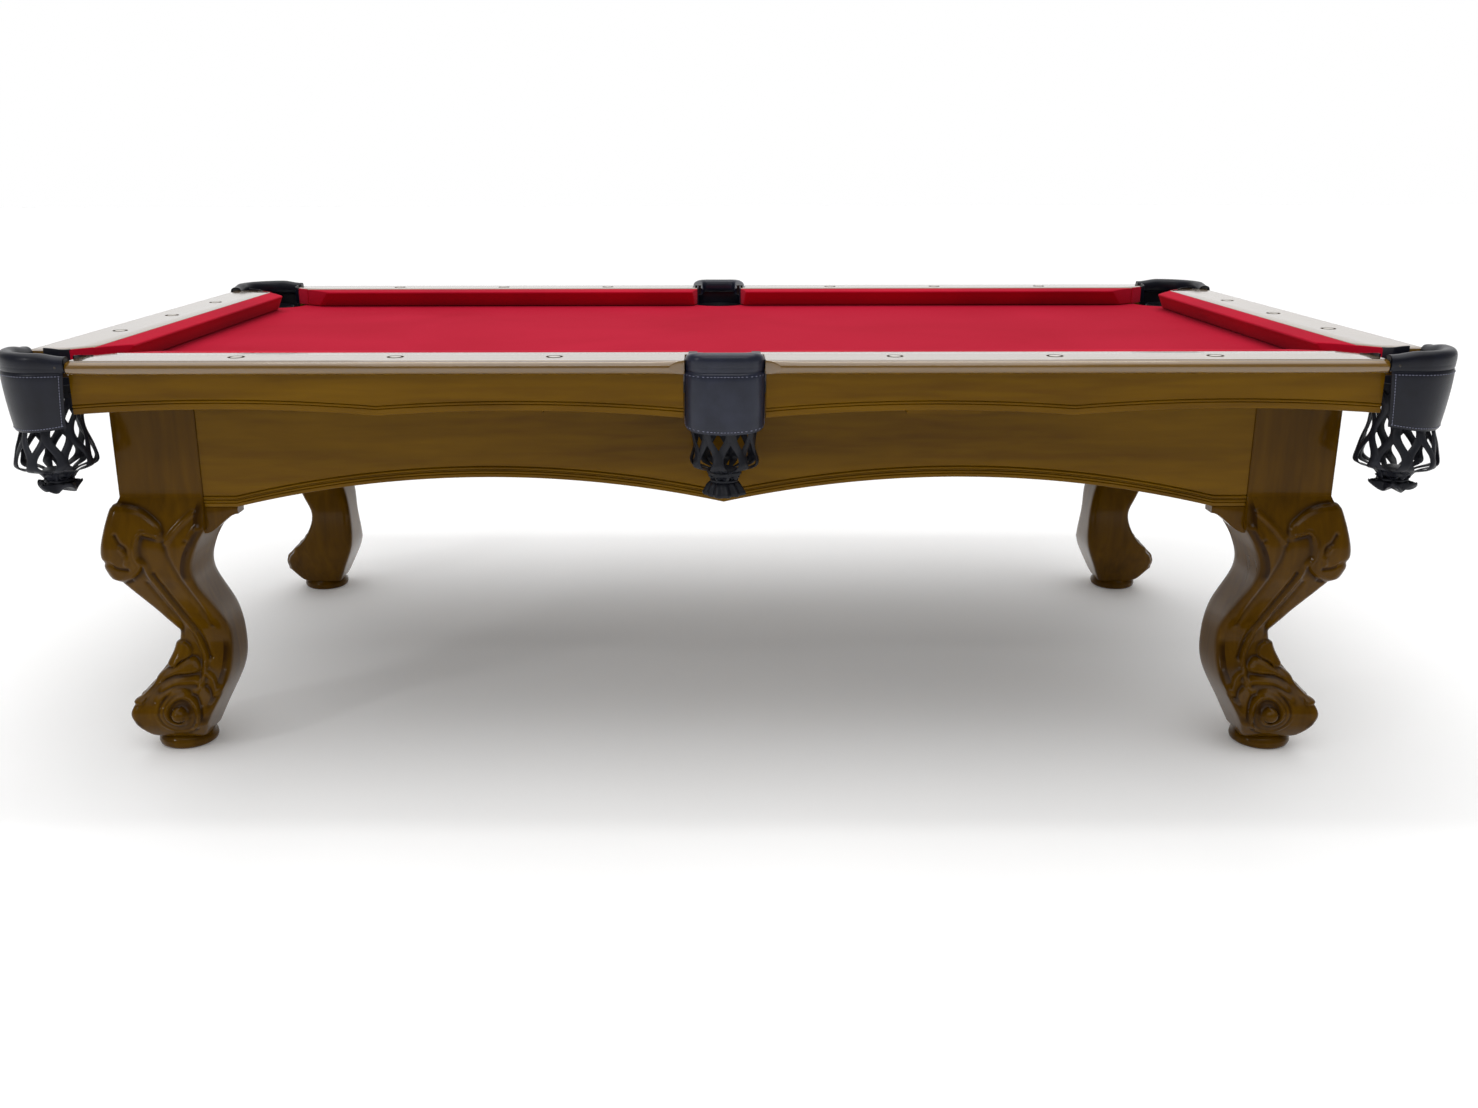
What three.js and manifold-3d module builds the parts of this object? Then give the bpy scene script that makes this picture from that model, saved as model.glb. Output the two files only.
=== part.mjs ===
// An eight-foot pool table on four carved cabriole legs, with drop pockets of leather and netting.
// Millimetres, +Z up, +X along the table. The origin is on the floor under the centre of the bed.
// The table is built up from the floor: legs and cabinet, slate and cloth, rails and cushions, pockets.

import * as THREE from 'three';
import { mergeVertices } from 'three/addons/utils/BufferGeometryUtils.js';
import Module from 'manifold-3d';

const wasm = await Module();
wasm.setup();

// ---------------------------------------------------------------- driving sizes

const gap = 0.3; // clearance between pieces that touch

// Playing field, from cushion nose to cushion nose.
const playLength = 2235;
const playWidth = 1118;

// Legs. The two outward faces of a leg follow one sawn S-shaped pattern.
const kneeHeight = 517;
const postSize = 158;
const postInset = 147.5; // from the outer edge of the rails in to the face of a post
const padRadius = 57;
const padFlatRadius = 50;
const padHeight = 26;
const padWaistRadius = 46;
const padWaistHeight = 60;
const padSetback = 58; // from the post's outer faces in to the centre of the pad
const wingLength = 62;
const wingTipHeight = 13;
const wingRootHeight = 52;
const wingThickness = 34;

// Cabinet.
const cabinetHeight = 206; // from the knee up to the top of the cabinet
const apronThickness = 25;
const apronSetback = 4; // from the face of a post in to the face of an apron
const apronDrop = 20; // how far an apron's lower edge hangs below the knee line
const archRise = 56.5;
const apronPointRise = 9;
const beamThickness = 38;
const beamDepth = 140;
const crossBeamPlace = 430;

// Bed.
const slateThickness = 25.4;
const slateOverhang = 76; // past the cushion noses
const slateJoint = 398;
const clothThickness = 1;

// Rails and cushions.
const cushionDepth = 50;
const cushionBaseDepth = 28;
const cushionUnderside = 2;
const noseHeight = 36;
const noseRadius = 3;
const cushionTopDrop = 0.4;
const railDepth = 115;
const railHeight = 42;
const railLipHeight = 20;
const railLipRadius = 10;
const railEase = 2;

// Skirts, the boards that hang below the rails.
const skirtThickness = 19;
const skirtSetback = 19; // from the outer edge of the rails in to the face of a skirt
const skirtEndDepth = 75;
const skirtArchDepth = 66;
const skirtCuspDepth = 77.5;
const skirtInnerArchDepth = 69;
const skirtPocketDepth = 82;
const skirtCornerArch = 530; // width of the arch beside a corner on a long skirt
const skirtPocketGap = 2.5;
const skirtCornerGap = 4;
const cleatHeight = 18;
const cleatTopDepth = 60; // below the underside of the rail lip
const cleatLength = 130;
const cleatPlace = 385;

// Pockets.
const cornerMouth = 127; // between the cushion noses
const cornerFacing = THREE.MathUtils.degToRad(38);
const sideMouth = 140;
const sideFacing = THREE.MathUtils.degToRad(14);
const cornerSpan = 146.5; // from the outer edge of one rail to the end of the other
const cornerStandProud = 4;
const cornerBendRadius = 86;
const cornerHoleRadius = 68;
const cornerHoleSetback = 112.5; // from the outer edges of the rails
const sidePocketWidth = 139;
const sideStandProud = 11;
const sideBendRadius = 25;
const sideArmLength = 95; // from the outer face of the shield back to the arms' ends
const sideHoleRadius = 70;
const sideHoleSetback = 84;
const sideRailCut = 12;
const sideRailCutLength = 26;
const rollWidth = 28;
const rollRise = 14; // above the rails
const rollHeight = 34;
const rollRound = 7;
const ironWidth = 15.4;
const ironHeight = 23.7;
const leatherWall = 6;
const shieldHeight = 142;
const shieldReturn = 34; // how far the side shield turns back round its ends

// Nets.
const netWall = 4;
const netTopDrop = 5; // below the top of the bed
const netHeight = 207;
const netTopRadius = 60;
const netWaistRadius = 57;
const cornerNetBulge = 70;
const sideNetBulge = 62;
const netNeckRadius = 27;
const netKnotRadius = 35;
const netKnotHeight = 14;
const netNeckHeight = 34;
const netCavityDepth = 144;
const netBellyRise = 52; // from the net's floor up to where its belly has half gone
const netWaistDepth = 55;
const cornerNetSetback = 76; // from the outer edges of the rails
const sideNetSetback = 73;

// ---------------------------------------------------------------- sizes that follow

const halfLength = playLength / 2;
const halfWidth = playWidth / 2;
const railOuter = cushionDepth + railDepth; // from a cushion's nose to the rail's outer edge
const tableHalfX = halfLength + railOuter;
const tableHalfY = halfWidth + railOuter;
const postOuterX = tableHalfX - postInset;
const postOuterY = tableHalfY - postInset;
const cabinetTop = kneeHeight + cabinetHeight;
const apronBottom = kneeHeight - apronDrop;
const slateBottom = cabinetTop + gap;
const slateTop = slateBottom + slateThickness;
const bedTop = slateTop + gap + clothThickness;
const railTop = bedTop + railHeight;
const railLipBottom = railTop - railLipHeight;
const leatherTop = railTop + rollRise;
const skirtFace = railOuter - skirtSetback;
const skirtBack = skirtFace - skirtThickness;
const cornerTipSetback = cornerMouth / Math.SQRT2; // nose end to the corner where the noses would meet
const cornerCheek = cushionDepth / Math.tan(cornerFacing);
const sideCheek = cushionDepth * Math.tan(sideFacing);
const sideArmStart = railOuter + sideStandProud - sideArmLength;

// ---------------------------------------------------------------- materials

const finish = (color, roughness, metalness = 0) => () =>
  new THREE.MeshStandardMaterial({ color, roughness, metalness });
const walnutLacquer = finish(0x50370c, 0.3);
const railLacquer = finish(0x4c320f, 0.12);
const redCloth = finish(0xc1273f, 0.95);
const slateStone = finish(0x4b5157, 0.8);
const blackLeather = finish(0x262933, 0.45);
const castIron = finish(0x2b2b2d, 0.6, 0.7);
const beamTimber = finish(0xb08d5e, 0.7);

// ---------------------------------------------------------------- solids

const table = new THREE.Group();

// The solid that a closed three.js geometry bounds.
function solid(geometry) {
  const bare = geometry.clone();
  bare.deleteAttribute('normal');
  bare.deleteAttribute('uv');
  const merged = mergeVertices(bare, 1e-4);
  return new wasm.Manifold(new wasm.Mesh({
    numProp: 3,
    vertProperties: new Float32Array(merged.attributes.position.array),
    triVerts: new Uint32Array(merged.index.array),
  }));
}

function geometryOf(manifold) {
  const { vertProperties, triVerts } = manifold.getMesh();
  const geometry = new THREE.BufferGeometry();
  geometry.setAttribute('position', new THREE.Float32BufferAttribute(vertProperties, 3));
  geometry.setIndex(new THREE.Uint32BufferAttribute(triVerts, 1));
  geometry.computeVertexNormals();
  return geometry;
}

// Adds a named piece to the table, turned about the vertical axis.
function add(name, geometry, material, x = 0, y = 0, turn = 0) {
  const mesh = new THREE.Mesh(geometry, material());
  mesh.name = name;
  mesh.position.set(x, y, 0);
  mesh.rotation.z = turn;
  table.add(mesh);
}

const outline = (points) => new THREE.Shape(points.map(([x, y]) => new THREE.Vector2(x, y)));

// A plan outline raised from z0 to z1.
function raised(shape, z0, z1, segments = 5) {
  const geometry = new THREE.ExtrudeGeometry(shape, {
    depth: z1 - z0, bevelEnabled: false, curveSegments: segments,
  });
  return geometry.translate(0, 0, z0);
}

// An upright outline in (x, z), given depth along Y from y0 to y1.
function upright(shape, y0, y1, segments = 12) {
  const geometry = new THREE.ExtrudeGeometry(shape, {
    depth: y1 - y0, bevelEnabled: false, curveSegments: segments,
  });
  return geometry.rotateX(Math.PI / 2).translate(0, y1, 0);
}

function box(x0, x1, y0, y1, z0, z1) {
  const geometry = new THREE.BoxGeometry(x1 - x0, y1 - y0, z1 - z0);
  return geometry.translate((x0 + x1) / 2, (y0 + y1) / 2, (z0 + z1) / 2);
}

// A vertical cylinder.
function post(radius, x, y, z0, z1, sides = 32) {
  const geometry = new THREE.CylinderGeometry(radius, radius, z1 - z0, sides);
  return geometry.rotateX(Math.PI / 2).translate(x, y, (z0 + z1) / 2);
}

// The middle point that bends a quadratic curve from a to b through the point p at its half-way mark.
const bendThrough = (a, p, b) => [2 * p[0] - (a[0] + b[0]) / 2, 2 * p[1] - (a[1] + b[1]) / 2];

// ---------------------------------------------------------------- legs

// The sawn pattern, with each height as a share of the knee's height. The outer edge is measured out
// past the post's outer face, and the inner edge out past its inner face.
const outerPattern = [
  [16, 0.925], [29, 0.807], [22, 0.72], [3, 0.652], [-38, 0.518],
  [-58, 0.424], [-37, 0.313], [17, 0.193], [19, 0.128], [0, 0.068],
];
const innerPattern = [
  [51, 0.039], [33, 0.12], [3, 0.255], [-3, 0.372], [5, 0.507], [33, 0.677], [26, 0.785], [0, 0.88],
];
const toeUnderside = [-17, 0.048];
const kneeReach = 80; // more than the pattern ever stands out from the post

// The leg seen square on: outward to +x, with its post on top.
function legPattern() {
  const place = ([out, share]) => new THREE.Vector2(out, share * kneeHeight);
  const inner = innerPattern.map(([out, share]) => place([out - postSize, share]));
  const shape = new THREE.Shape();
  shape.moveTo(-postSize, cabinetTop);
  shape.lineTo(0, cabinetTop);
  shape.lineTo(0, kneeHeight);
  shape.splineThru([...outerPattern, toeUnderside].map(place));
  shape.lineTo(inner[0].x, inner[0].y);
  shape.splineThru(inner.slice(1));
  shape.closePath();
  return shape;
}

// The bracket that carries the knee on under the end of an apron, running inward to -x.
function wing() {
  const top = apronBottom - gap;
  const shape = new THREE.Shape();
  shape.moveTo(-postSize - wingLength, top);
  shape.lineTo(-postSize - wingLength, top - wingTipHeight);
  shape.quadraticCurveTo(-postSize - wingLength / 3, top - wingTipHeight, -postSize, top - wingRootHeight);
  shape.lineTo(-postSize / 2, top - wingRootHeight);
  shape.lineTo(-postSize / 2, top);
  shape.closePath();
  return shape;
}

function pad() {
  const profile = [
    [0, 0], [padFlatRadius, 0], [padRadius - 2, 4], [padRadius, 10], [padRadius - 1, 17],
    [padWaistRadius + 2, padHeight], [padWaistRadius, padWaistHeight], [0, padWaistHeight],
  ];
  const geometry = new THREE.LatheGeometry(profile.map(([r, z]) => new THREE.Vector2(r, z)), 32);
  return geometry.rotateX(Math.PI / 2).translate(-padSetback, padSetback, 0);
}

// One leg, with the corner of its post at the origin, its outward faces to +x and -y.
function leg() {
  const reach = postSize + kneeReach;
  const faceX = upright(legPattern(), -kneeReach, reach, 2);
  const faceY = upright(legPattern(), -reach, kneeReach, 2).rotateZ(-Math.PI / 2);
  const back = apronSetback + gap;
  const wingX = upright(wing(), back, back + wingThickness);
  const wingY = upright(wing(), -back - wingThickness, -back).rotateZ(-Math.PI / 2);
  return solid(faceX).intersect(solid(faceY)).add(solid(wingX)).add(solid(wingY)).add(solid(pad()));
}

const legGeometry = geometryOf(leg());
const quarter = Math.PI / 2;
add('leg_front_right', legGeometry, walnutLacquer, postOuterX, -postOuterY, 0);
add('leg_back_right', legGeometry, walnutLacquer, postOuterX, postOuterY, quarter);
add('leg_back_left', legGeometry, walnutLacquer, -postOuterX, postOuterY, 2 * quarter);
add('leg_front_left', legGeometry, walnutLacquer, -postOuterX, -postOuterY, -quarter);

// ---------------------------------------------------------------- cabinet

// An apron of the given half length, its lower edge rising from each wing in one arch or in two.
function apronOutline(half, twoArches) {
  const springing = half - wingLength;
  const shape = new THREE.Shape();
  shape.moveTo(half, cabinetTop);
  shape.lineTo(-half, cabinetTop);
  shape.lineTo(-half, apronBottom);
  const start = [-springing, apronBottom];
  const end = [springing, apronBottom];
  shape.lineTo(...start);
  if (twoArches) {
    const point = [0, apronBottom + apronPointRise];
    const apex = [springing / 2, apronBottom + archRise];
    shape.quadraticCurveTo(...bendThrough(start, [-apex[0], apex[1]], point), ...point);
    shape.quadraticCurveTo(...bendThrough(point, apex, end), ...end);
  } else {
    shape.quadraticCurveTo(...bendThrough(start, [0, apronBottom + archRise], end), ...end);
  }
  shape.lineTo(half, apronBottom);
  shape.closePath();
  return shape;
}

const sideApronFace = postOuterY - apronSetback;
const endApronFace = postOuterX - apronSetback;
const sideApron = upright(apronOutline(postOuterX - postSize - gap, true),
  -sideApronFace, -sideApronFace + apronThickness);
const endApron = upright(apronOutline(postOuterY - postSize - gap, false),
  -endApronFace, -endApronFace + apronThickness);
add('apron_front', sideApron, walnutLacquer);
add('apron_back', sideApron, walnutLacquer, 0, 0, 2 * quarter);
add('apron_right', endApron, walnutLacquer, 0, 0, quarter);
add('apron_left', endApron, walnutLacquer, 0, 0, -quarter);

// Beams under the slate. The long one is notched on top where the cross beams lie in it.
const beamBottom = cabinetTop - beamDepth;
const lapHeight = cabinetTop - beamDepth / 2;
const notchHalf = beamThickness / 2 + gap;
const beamHalf = endApronFace - apronThickness - gap;
const crossHalf = sideApronFace - apronThickness - gap;
const beamOutline = outline([
  [-beamHalf, beamBottom], [beamHalf, beamBottom], [beamHalf, cabinetTop],
  [crossBeamPlace + notchHalf, cabinetTop], [crossBeamPlace + notchHalf, lapHeight],
  [crossBeamPlace - notchHalf, lapHeight], [crossBeamPlace - notchHalf, cabinetTop],
  [-crossBeamPlace + notchHalf, cabinetTop], [-crossBeamPlace + notchHalf, lapHeight],
  [-crossBeamPlace - notchHalf, lapHeight], [-crossBeamPlace - notchHalf, cabinetTop],
  [-beamHalf, cabinetTop],
]);
const crossOutline = outline([
  [-crossHalf, beamBottom], [-notchHalf, beamBottom], [-notchHalf, lapHeight + gap],
  [notchHalf, lapHeight + gap], [notchHalf, beamBottom], [crossHalf, beamBottom],
  [crossHalf, cabinetTop], [-crossHalf, cabinetTop],
]);
add('centre_beam', upright(beamOutline, -beamThickness / 2, beamThickness / 2), beamTimber);
const crossBeam = upright(crossOutline, -beamThickness / 2, beamThickness / 2);
add('cross_beam_right', crossBeam, beamTimber, crossBeamPlace, 0, quarter);
add('cross_beam_left', crossBeam, beamTimber, -crossBeamPlace, 0, quarter);

// ---------------------------------------------------------------- slate and bed cloth

const bedHalfX = halfLength + slateOverhang;
const bedHalfY = halfWidth + slateOverhang;

// The six holes that the balls drop through.
function pocketHoles(z0, z1) {
  const x = tableHalfX - cornerHoleSetback;
  const y = tableHalfY - cornerHoleSetback;
  const sideY = tableHalfY - sideHoleSetback;
  const corners = [[x, y], [x, -y], [-x, y], [-x, -y]];
  const holes = corners.map(([cx, cy]) => solid(post(cornerHoleRadius, cx, cy, z0, z1)));
  holes.push(solid(post(sideHoleRadius, 0, sideY, z0, z1)));
  holes.push(solid(post(sideHoleRadius, 0, -sideY, z0, z1)));
  return holes.reduce((all, hole) => all.add(hole));
}

const holes = pocketHoles(cabinetTop - 10, railTop);
const slab = (x0, x1, z0, z1) =>
  geometryOf(solid(box(x0, x1, -bedHalfY, bedHalfY, z0, z1)).subtract(holes));
add('slate_left', slab(-bedHalfX, -slateJoint - gap / 2, slateBottom, slateTop), slateStone);
add('slate_middle', slab(-slateJoint + gap / 2, slateJoint - gap / 2, slateBottom, slateTop), slateStone);
add('slate_right', slab(slateJoint + gap / 2, bedHalfX, slateBottom, slateTop), slateStone);
add('bed_cloth', slab(-bedHalfX, bedHalfX, slateTop + gap, bedTop), redCloth);

// ---------------------------------------------------------------- rails, cushions and skirts

// Rails are drawn as on the front of the table: s runs along the rail towards a corner,
// u runs outward from the cushion's nose. "halfAcross" is the nose's distance from the centre.

// Section of a rail in (u, z): a block on the slate with a round-edged board running out over the skirt.
function railSection() {
  const shape = new THREE.Shape();
  shape.moveTo(cushionDepth, bedTop + gap);
  shape.lineTo(cushionDepth, railTop - railEase);
  shape.lineTo(cushionDepth + railEase, railTop);
  shape.lineTo(railOuter - railLipRadius, railTop);
  shape.absarc(railOuter - railLipRadius, railTop - railLipRadius, railLipRadius,
    Math.PI / 2, -Math.PI / 2, true);
  shape.lineTo(skirtBack - gap, railLipBottom);
  shape.lineTo(skirtBack - gap, bedTop + gap);
  shape.closePath();
  return shape;
}

// Section of a cushion: a nearly flat top, a round nose, and an undercut face below it.
function cushionSection() {
  const back = cushionDepth - gap;
  const base = bedTop + cushionUnderside;
  const shape = new THREE.Shape();
  shape.moveTo(back, base);
  shape.lineTo(back, railTop - cushionTopDrop);
  shape.lineTo(noseRadius, bedTop + noseHeight + noseRadius);
  shape.absarc(noseRadius, bedTop + noseHeight, noseRadius, Math.PI / 2, Math.PI * 1.15, false);
  shape.lineTo(cushionDepth - cushionBaseDepth, base);
  shape.closePath();
  return shape;
}

// A section in (u, z) carried along s from s0 to s1, outward to -y.
function run(section, halfAcross, s0, s1, segments = 6) {
  const geometry = new THREE.ExtrudeGeometry(section, {
    depth: s1 - s0, bevelEnabled: false, curveSegments: segments,
  });
  const basis = new THREE.Matrix4().makeBasis(
    new THREE.Vector3(0, -1, 0), new THREE.Vector3(0, 0, 1), new THREE.Vector3(-1, 0, 0));
  return geometry.applyMatrix4(basis).translate(s1, -halfAcross, 0);
}

// A plan in (s, u) as a tall prism, to trim the ends of what runs along a rail.
function trim(points, halfAcross, mirror) {
  const plan = points.map(([s, u]) => [mirror * s, -halfAcross - u]);
  return solid(raised(outline(plan), apronBottom, leatherTop));
}

// Where the jaw of a corner pocket passes through the cushion and the rail.
const cornerJaw = (halfNose) => {
  const tip = halfNose - cornerTipSetback;
  const back = tip + cornerCheek;
  const end = halfNose + railOuter - cornerSpan;
  return { tip, back, end, bend: cushionDepth + end - back };
};

const jawAtSide = {
  tip: sideMouth / 2,
  back: sideMouth / 2 - sideCheek,
  end: sidePocketWidth / 2 + gap,
};

function railPlan(halfNose, meetsSidePocket) {
  const corner = cornerJaw(halfNose);
  const far = railOuter + 1;
  const cornerEnd = [
    [corner.back, 0], [corner.back, cushionDepth], [corner.end, corner.bend], [corner.end, far],
  ];
  if (!meetsSidePocket) {
    return [...cornerEnd, ...cornerEnd.map(([s, u]) => [-s, u]).reverse()];
  }
  const side = jawAtSide;
  return [
    ...cornerEnd, [side.end + sideRailCutLength, far], [side.end + sideRailCutLength, railOuter],
    [side.end, railOuter - sideRailCut], [side.end, sideArmStart - gap],
    [side.back, sideArmStart - gap], [side.back, 0],
  ];
}

function cushionPlan(halfNose, meetsSidePocket) {
  const corner = cornerJaw(halfNose);
  const cornerEnd = [[corner.tip, 0], [corner.back, cushionDepth]];
  const otherEnd = meetsSidePocket
    ? [[jawAtSide.back, cushionDepth], [jawAtSide.tip, 0]]
    : [[-corner.back, cushionDepth], [-corner.tip, 0]];
  return [...cornerEnd, ...otherEnd];
}

// A skirt's outline in (s, z). A long skirt has a cusp between two arches of unlike length.
function skirtOutline(halfNose, meetsSidePocket, mirror) {
  const top = railLipBottom - gap;
  const end = halfNose + railOuter - cornerSpan - skirtCornerGap;
  const level = (depth) => railLipBottom - depth;
  const archTo = (shape, from, via, to) =>
    shape.quadraticCurveTo(mirror * bendThrough(from, via, to)[0], bendThrough(from, via, to)[1],
      mirror * to[0], to[1]);
  const shape = new THREE.Shape();
  shape.moveTo(mirror * end, top);
  shape.lineTo(mirror * end, level(skirtEndDepth));
  const corner = [end, level(skirtEndDepth)];
  if (meetsSidePocket) {
    const start = sidePocketWidth / 2 + skirtPocketGap;
    const cusp = [end - skirtCornerArch, level(skirtCuspDepth)];
    const crown = [(corner[0] + cusp[0]) / 2, level(skirtArchDepth)];
    archTo(shape, corner, crown, cusp);
    const innerCrown = [(start + cusp[0]) / 2, level(skirtInnerArchDepth)];
    archTo(shape, cusp, innerCrown, [start, level(skirtPocketDepth)]);
    shape.lineTo(mirror * start, top);
  } else {
    const cusp = [0, level(skirtCuspDepth)];
    const crown = [end / 2, level(skirtArchDepth)];
    archTo(shape, corner, crown, cusp);
    archTo(shape, cusp, [-crown[0], crown[1]], [-corner[0], corner[1]]);
    shape.lineTo(-mirror * end, top);
  }
  shape.closePath();
  return shape;
}

// The rail, cushion and skirt of one stretch, on the side of the table that "turn" faces.
function railStretch(name, halfAcross, halfNose, meetsSidePocket, mirror, turn) {
  const reach = halfNose + railOuter;
  const rail = solid(run(railSection(), halfAcross, -reach, reach));
  const cushion = solid(run(cushionSection(), halfAcross, -reach, reach));
  const railEnds = trim(railPlan(halfNose, meetsSidePocket), halfAcross, mirror);
  const cushionEnds = trim(cushionPlan(halfNose, meetsSidePocket), halfAcross, mirror);
  const skirt = upright(skirtOutline(halfNose, meetsSidePocket, mirror),
    -halfAcross - skirtFace, -halfAcross - skirtBack);
  add(`rail_${name}`, geometryOf(rail.intersect(railEnds)), railLacquer, 0, 0, turn);
  add(`cushion_${name}`, geometryOf(cushion.intersect(cushionEnds)), redCloth, 0, 0, turn);
  add(`skirt_${name}`, skirt, walnutLacquer, 0, 0, turn);
}

railStretch('front_right', halfWidth, halfLength, true, 1, 0);
railStretch('front_left', halfWidth, halfLength, true, -1, 0);
railStretch('back_left', halfWidth, halfLength, true, 1, 2 * quarter);
railStretch('back_right', halfWidth, halfLength, true, -1, 2 * quarter);
railStretch('right_end', halfLength, halfWidth, false, 1, quarter);
railStretch('left_end', halfLength, halfWidth, false, 1, -quarter);

// Cleats that brace the long skirts against the cabinet.
const cleatTop = railLipBottom - cleatTopDepth;
const cleat = box(-cleatLength / 2, cleatLength / 2, -halfWidth - skirtBack + gap, -sideApronFace - gap,
  cleatTop - cleatHeight, cleatTop);
add('cleat_front_right', cleat, walnutLacquer, cleatPlace, 0, 0);
add('cleat_front_left', cleat, walnutLacquer, -cleatPlace, 0, 0);
add('cleat_back_left', cleat, walnutLacquer, -cleatPlace, 0, 2 * quarter);
add('cleat_back_right', cleat, walnutLacquer, cleatPlace, 0, 2 * quarter);

// ---------------------------------------------------------------- pockets

// A band that follows a horseshoe's middle line, from "inside" to "outside" of it. The horseshoe opens
// to +y. Its arms stand at x = -half and x = half, and the bend's lowest line is at y = -reach.
function horseshoe(half, reach, armEnd, bend, inside, outside) {
  const centre = [half - bend, -reach + bend];
  const shape = new THREE.Shape();
  shape.moveTo(-half - outside, armEnd);
  shape.lineTo(-half - outside, centre[1]);
  shape.absarc(-centre[0], centre[1], bend + outside, Math.PI, Math.PI * 1.5, false);
  shape.lineTo(centre[0], -reach - outside);
  shape.absarc(centre[0], centre[1], bend + outside, Math.PI * 1.5, Math.PI * 2, false);
  shape.lineTo(half + outside, armEnd);
  shape.lineTo(half + inside, armEnd);
  shape.lineTo(half + inside, centre[1]);
  shape.absarc(centre[0], centre[1], bend + inside, Math.PI * 2, Math.PI * 1.5, true);
  shape.lineTo(-centre[0], -reach - inside);
  shape.absarc(-centre[0], centre[1], bend + inside, Math.PI * 1.5, Math.PI, true);
  shape.lineTo(-half - inside, armEnd);
  shape.closePath();
  return shape;
}

// The same band with a single bend, for a corner: one arm to +y at x = 0, the other to -x at y = 0.
function elbow(armLength, bend, inside, outside) {
  const shape = new THREE.Shape();
  shape.moveTo(-armLength, -outside);
  shape.lineTo(-bend, -outside);
  shape.absarc(-bend, bend, bend + outside, -Math.PI / 2, 0, false);
  shape.lineTo(outside, armLength);
  shape.lineTo(inside, armLength);
  shape.lineTo(inside, bend);
  shape.absarc(-bend, bend, bend + inside, 0, -Math.PI / 2, true);
  shape.lineTo(-armLength, -inside);
  shape.closePath();
  return shape;
}

// The rolled leather top, hollowed for the iron, with the shield hanging from its outer side.
function leather(band, keepShield) {
  const half = rollWidth / 2;
  const rollBottom = leatherTop - rollHeight;
  const roll = new THREE.ExtrudeGeometry(band(-half, half), {
    depth: rollHeight - 2 * rollRound, bevelEnabled: true, bevelThickness: rollRound,
    bevelSize: rollRound, bevelOffset: -rollRound, bevelSegments: 2, curveSegments: 5,
  }).translate(0, 0, rollBottom + rollRound);
  const iron = half - leatherWall;
  const core = raised(band(-iron, iron), rollBottom - 1, rollBottom + 2 + ironHeight + gap);
  const wall = solid(raised(band(iron, half), leatherTop - shieldHeight, leatherTop - rollRound));
  return geometryOf(solid(roll).add(keepShield(wall)).subtract(solid(core)));
}

function ironBar(band) {
  const bottom = leatherTop - rollHeight + 2;
  return raised(band(-ironWidth / 2, ironWidth / 2), bottom, bottom + ironHeight);
}

// A hanging net drawn as its outer skin: open at the top, bellied, and gathered to a knot below.
function net(bulge) {
  const top = bedTop - netTopDrop;
  const low = top - netHeight;
  const floor = top - netCavityDepth;
  const belly = (bulge + netWaistRadius) / 2;
  const round = 2 * netWall;
  const outer = [
    [0, low], [netKnotRadius - round, low], [netKnotRadius, low + netKnotHeight],
    [netNeckRadius, low + netNeckHeight], [bulge - round, floor - round], [bulge, floor + netWall],
    [belly, floor + netBellyRise], [netWaistRadius, top - netWaistDepth], [netTopRadius, top],
  ];
  const inner = [
    [netTopRadius - netWall, top], [netWaistRadius - netWall, top - netWaistDepth],
    [belly - netWall, floor + netBellyRise], [bulge - netWall, floor + round],
    [bulge - netWall - round, floor], [0, floor],
  ];
  const profile = [...outer, ...inner].map(([r, z]) => new THREE.Vector2(r, z));
  const geometry = new THREE.LatheGeometry(profile, 16);
  return geometry.rotateX(Math.PI / 2);
}

function pocket(name, band, keepShield, netAt, bulge, x, y, turn) {
  add(`pocket_leather_${name}`, leather(band, keepShield), blackLeather, x, y, turn);
  add(`pocket_iron_${name}`, ironBar(band), castIron, x, y, turn);
  const place = new THREE.Vector2(...netAt).rotateAround(new THREE.Vector2(), turn);
  add(`pocket_net_${name}`, net(bulge), blackLeather, x + place.x, y + place.y);
}

// Corner pockets. The origin of an elbow is where the middle lines of its arms would cross.
const elbowInset = rollWidth / 2 - cornerStandProud;
const elbowArm = cornerSpan - elbowInset - gap;
const cornerBand = (inside, outside) => elbow(elbowArm, cornerBendRadius, inside, outside);
const cornerNet = [elbowInset - cornerNetSetback, cornerNetSetback - elbowInset];
const elbowX = tableHalfX - elbowInset;
const elbowY = tableHalfY - elbowInset;
const whole = (wall) => wall;
pocket('front_right', cornerBand, whole, cornerNet, cornerNetBulge, elbowX, -elbowY, 0);
pocket('back_right', cornerBand, whole, cornerNet, cornerNetBulge, elbowX, elbowY, quarter);
pocket('back_left', cornerBand, whole, cornerNet, cornerNetBulge, -elbowX, elbowY, 2 * quarter);
pocket('front_left', cornerBand, whole, cornerNet, cornerNetBulge, -elbowX, -elbowY, -quarter);

// Side pockets, drawn from the centre of the table's front edge.
const armHalf = (sidePocketWidth - rollWidth) / 2;
const bendLine = sideStandProud - rollWidth / 2;
const armEnd = sideArmLength - sideStandProud;
const sideBand = (inside, outside) =>
  horseshoe(armHalf, bendLine, armEnd, sideBendRadius, inside, outside);
const shieldOnly = (wall) => wall.intersect(
  solid(box(-sidePocketWidth, sidePocketWidth, -sideStandProud - 1, -sideStandProud + shieldReturn,
    leatherTop - shieldHeight - 1, leatherTop)));
const sideNet = [0, sideNetSetback];
pocket('front_middle', sideBand, shieldOnly, sideNet, sideNetBulge, 0, -tableHalfY, 0);
pocket('back_middle', sideBand, shieldOnly, sideNet, sideNetBulge, 0, tableHalfY, 2 * quarter);

export default table;
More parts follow.
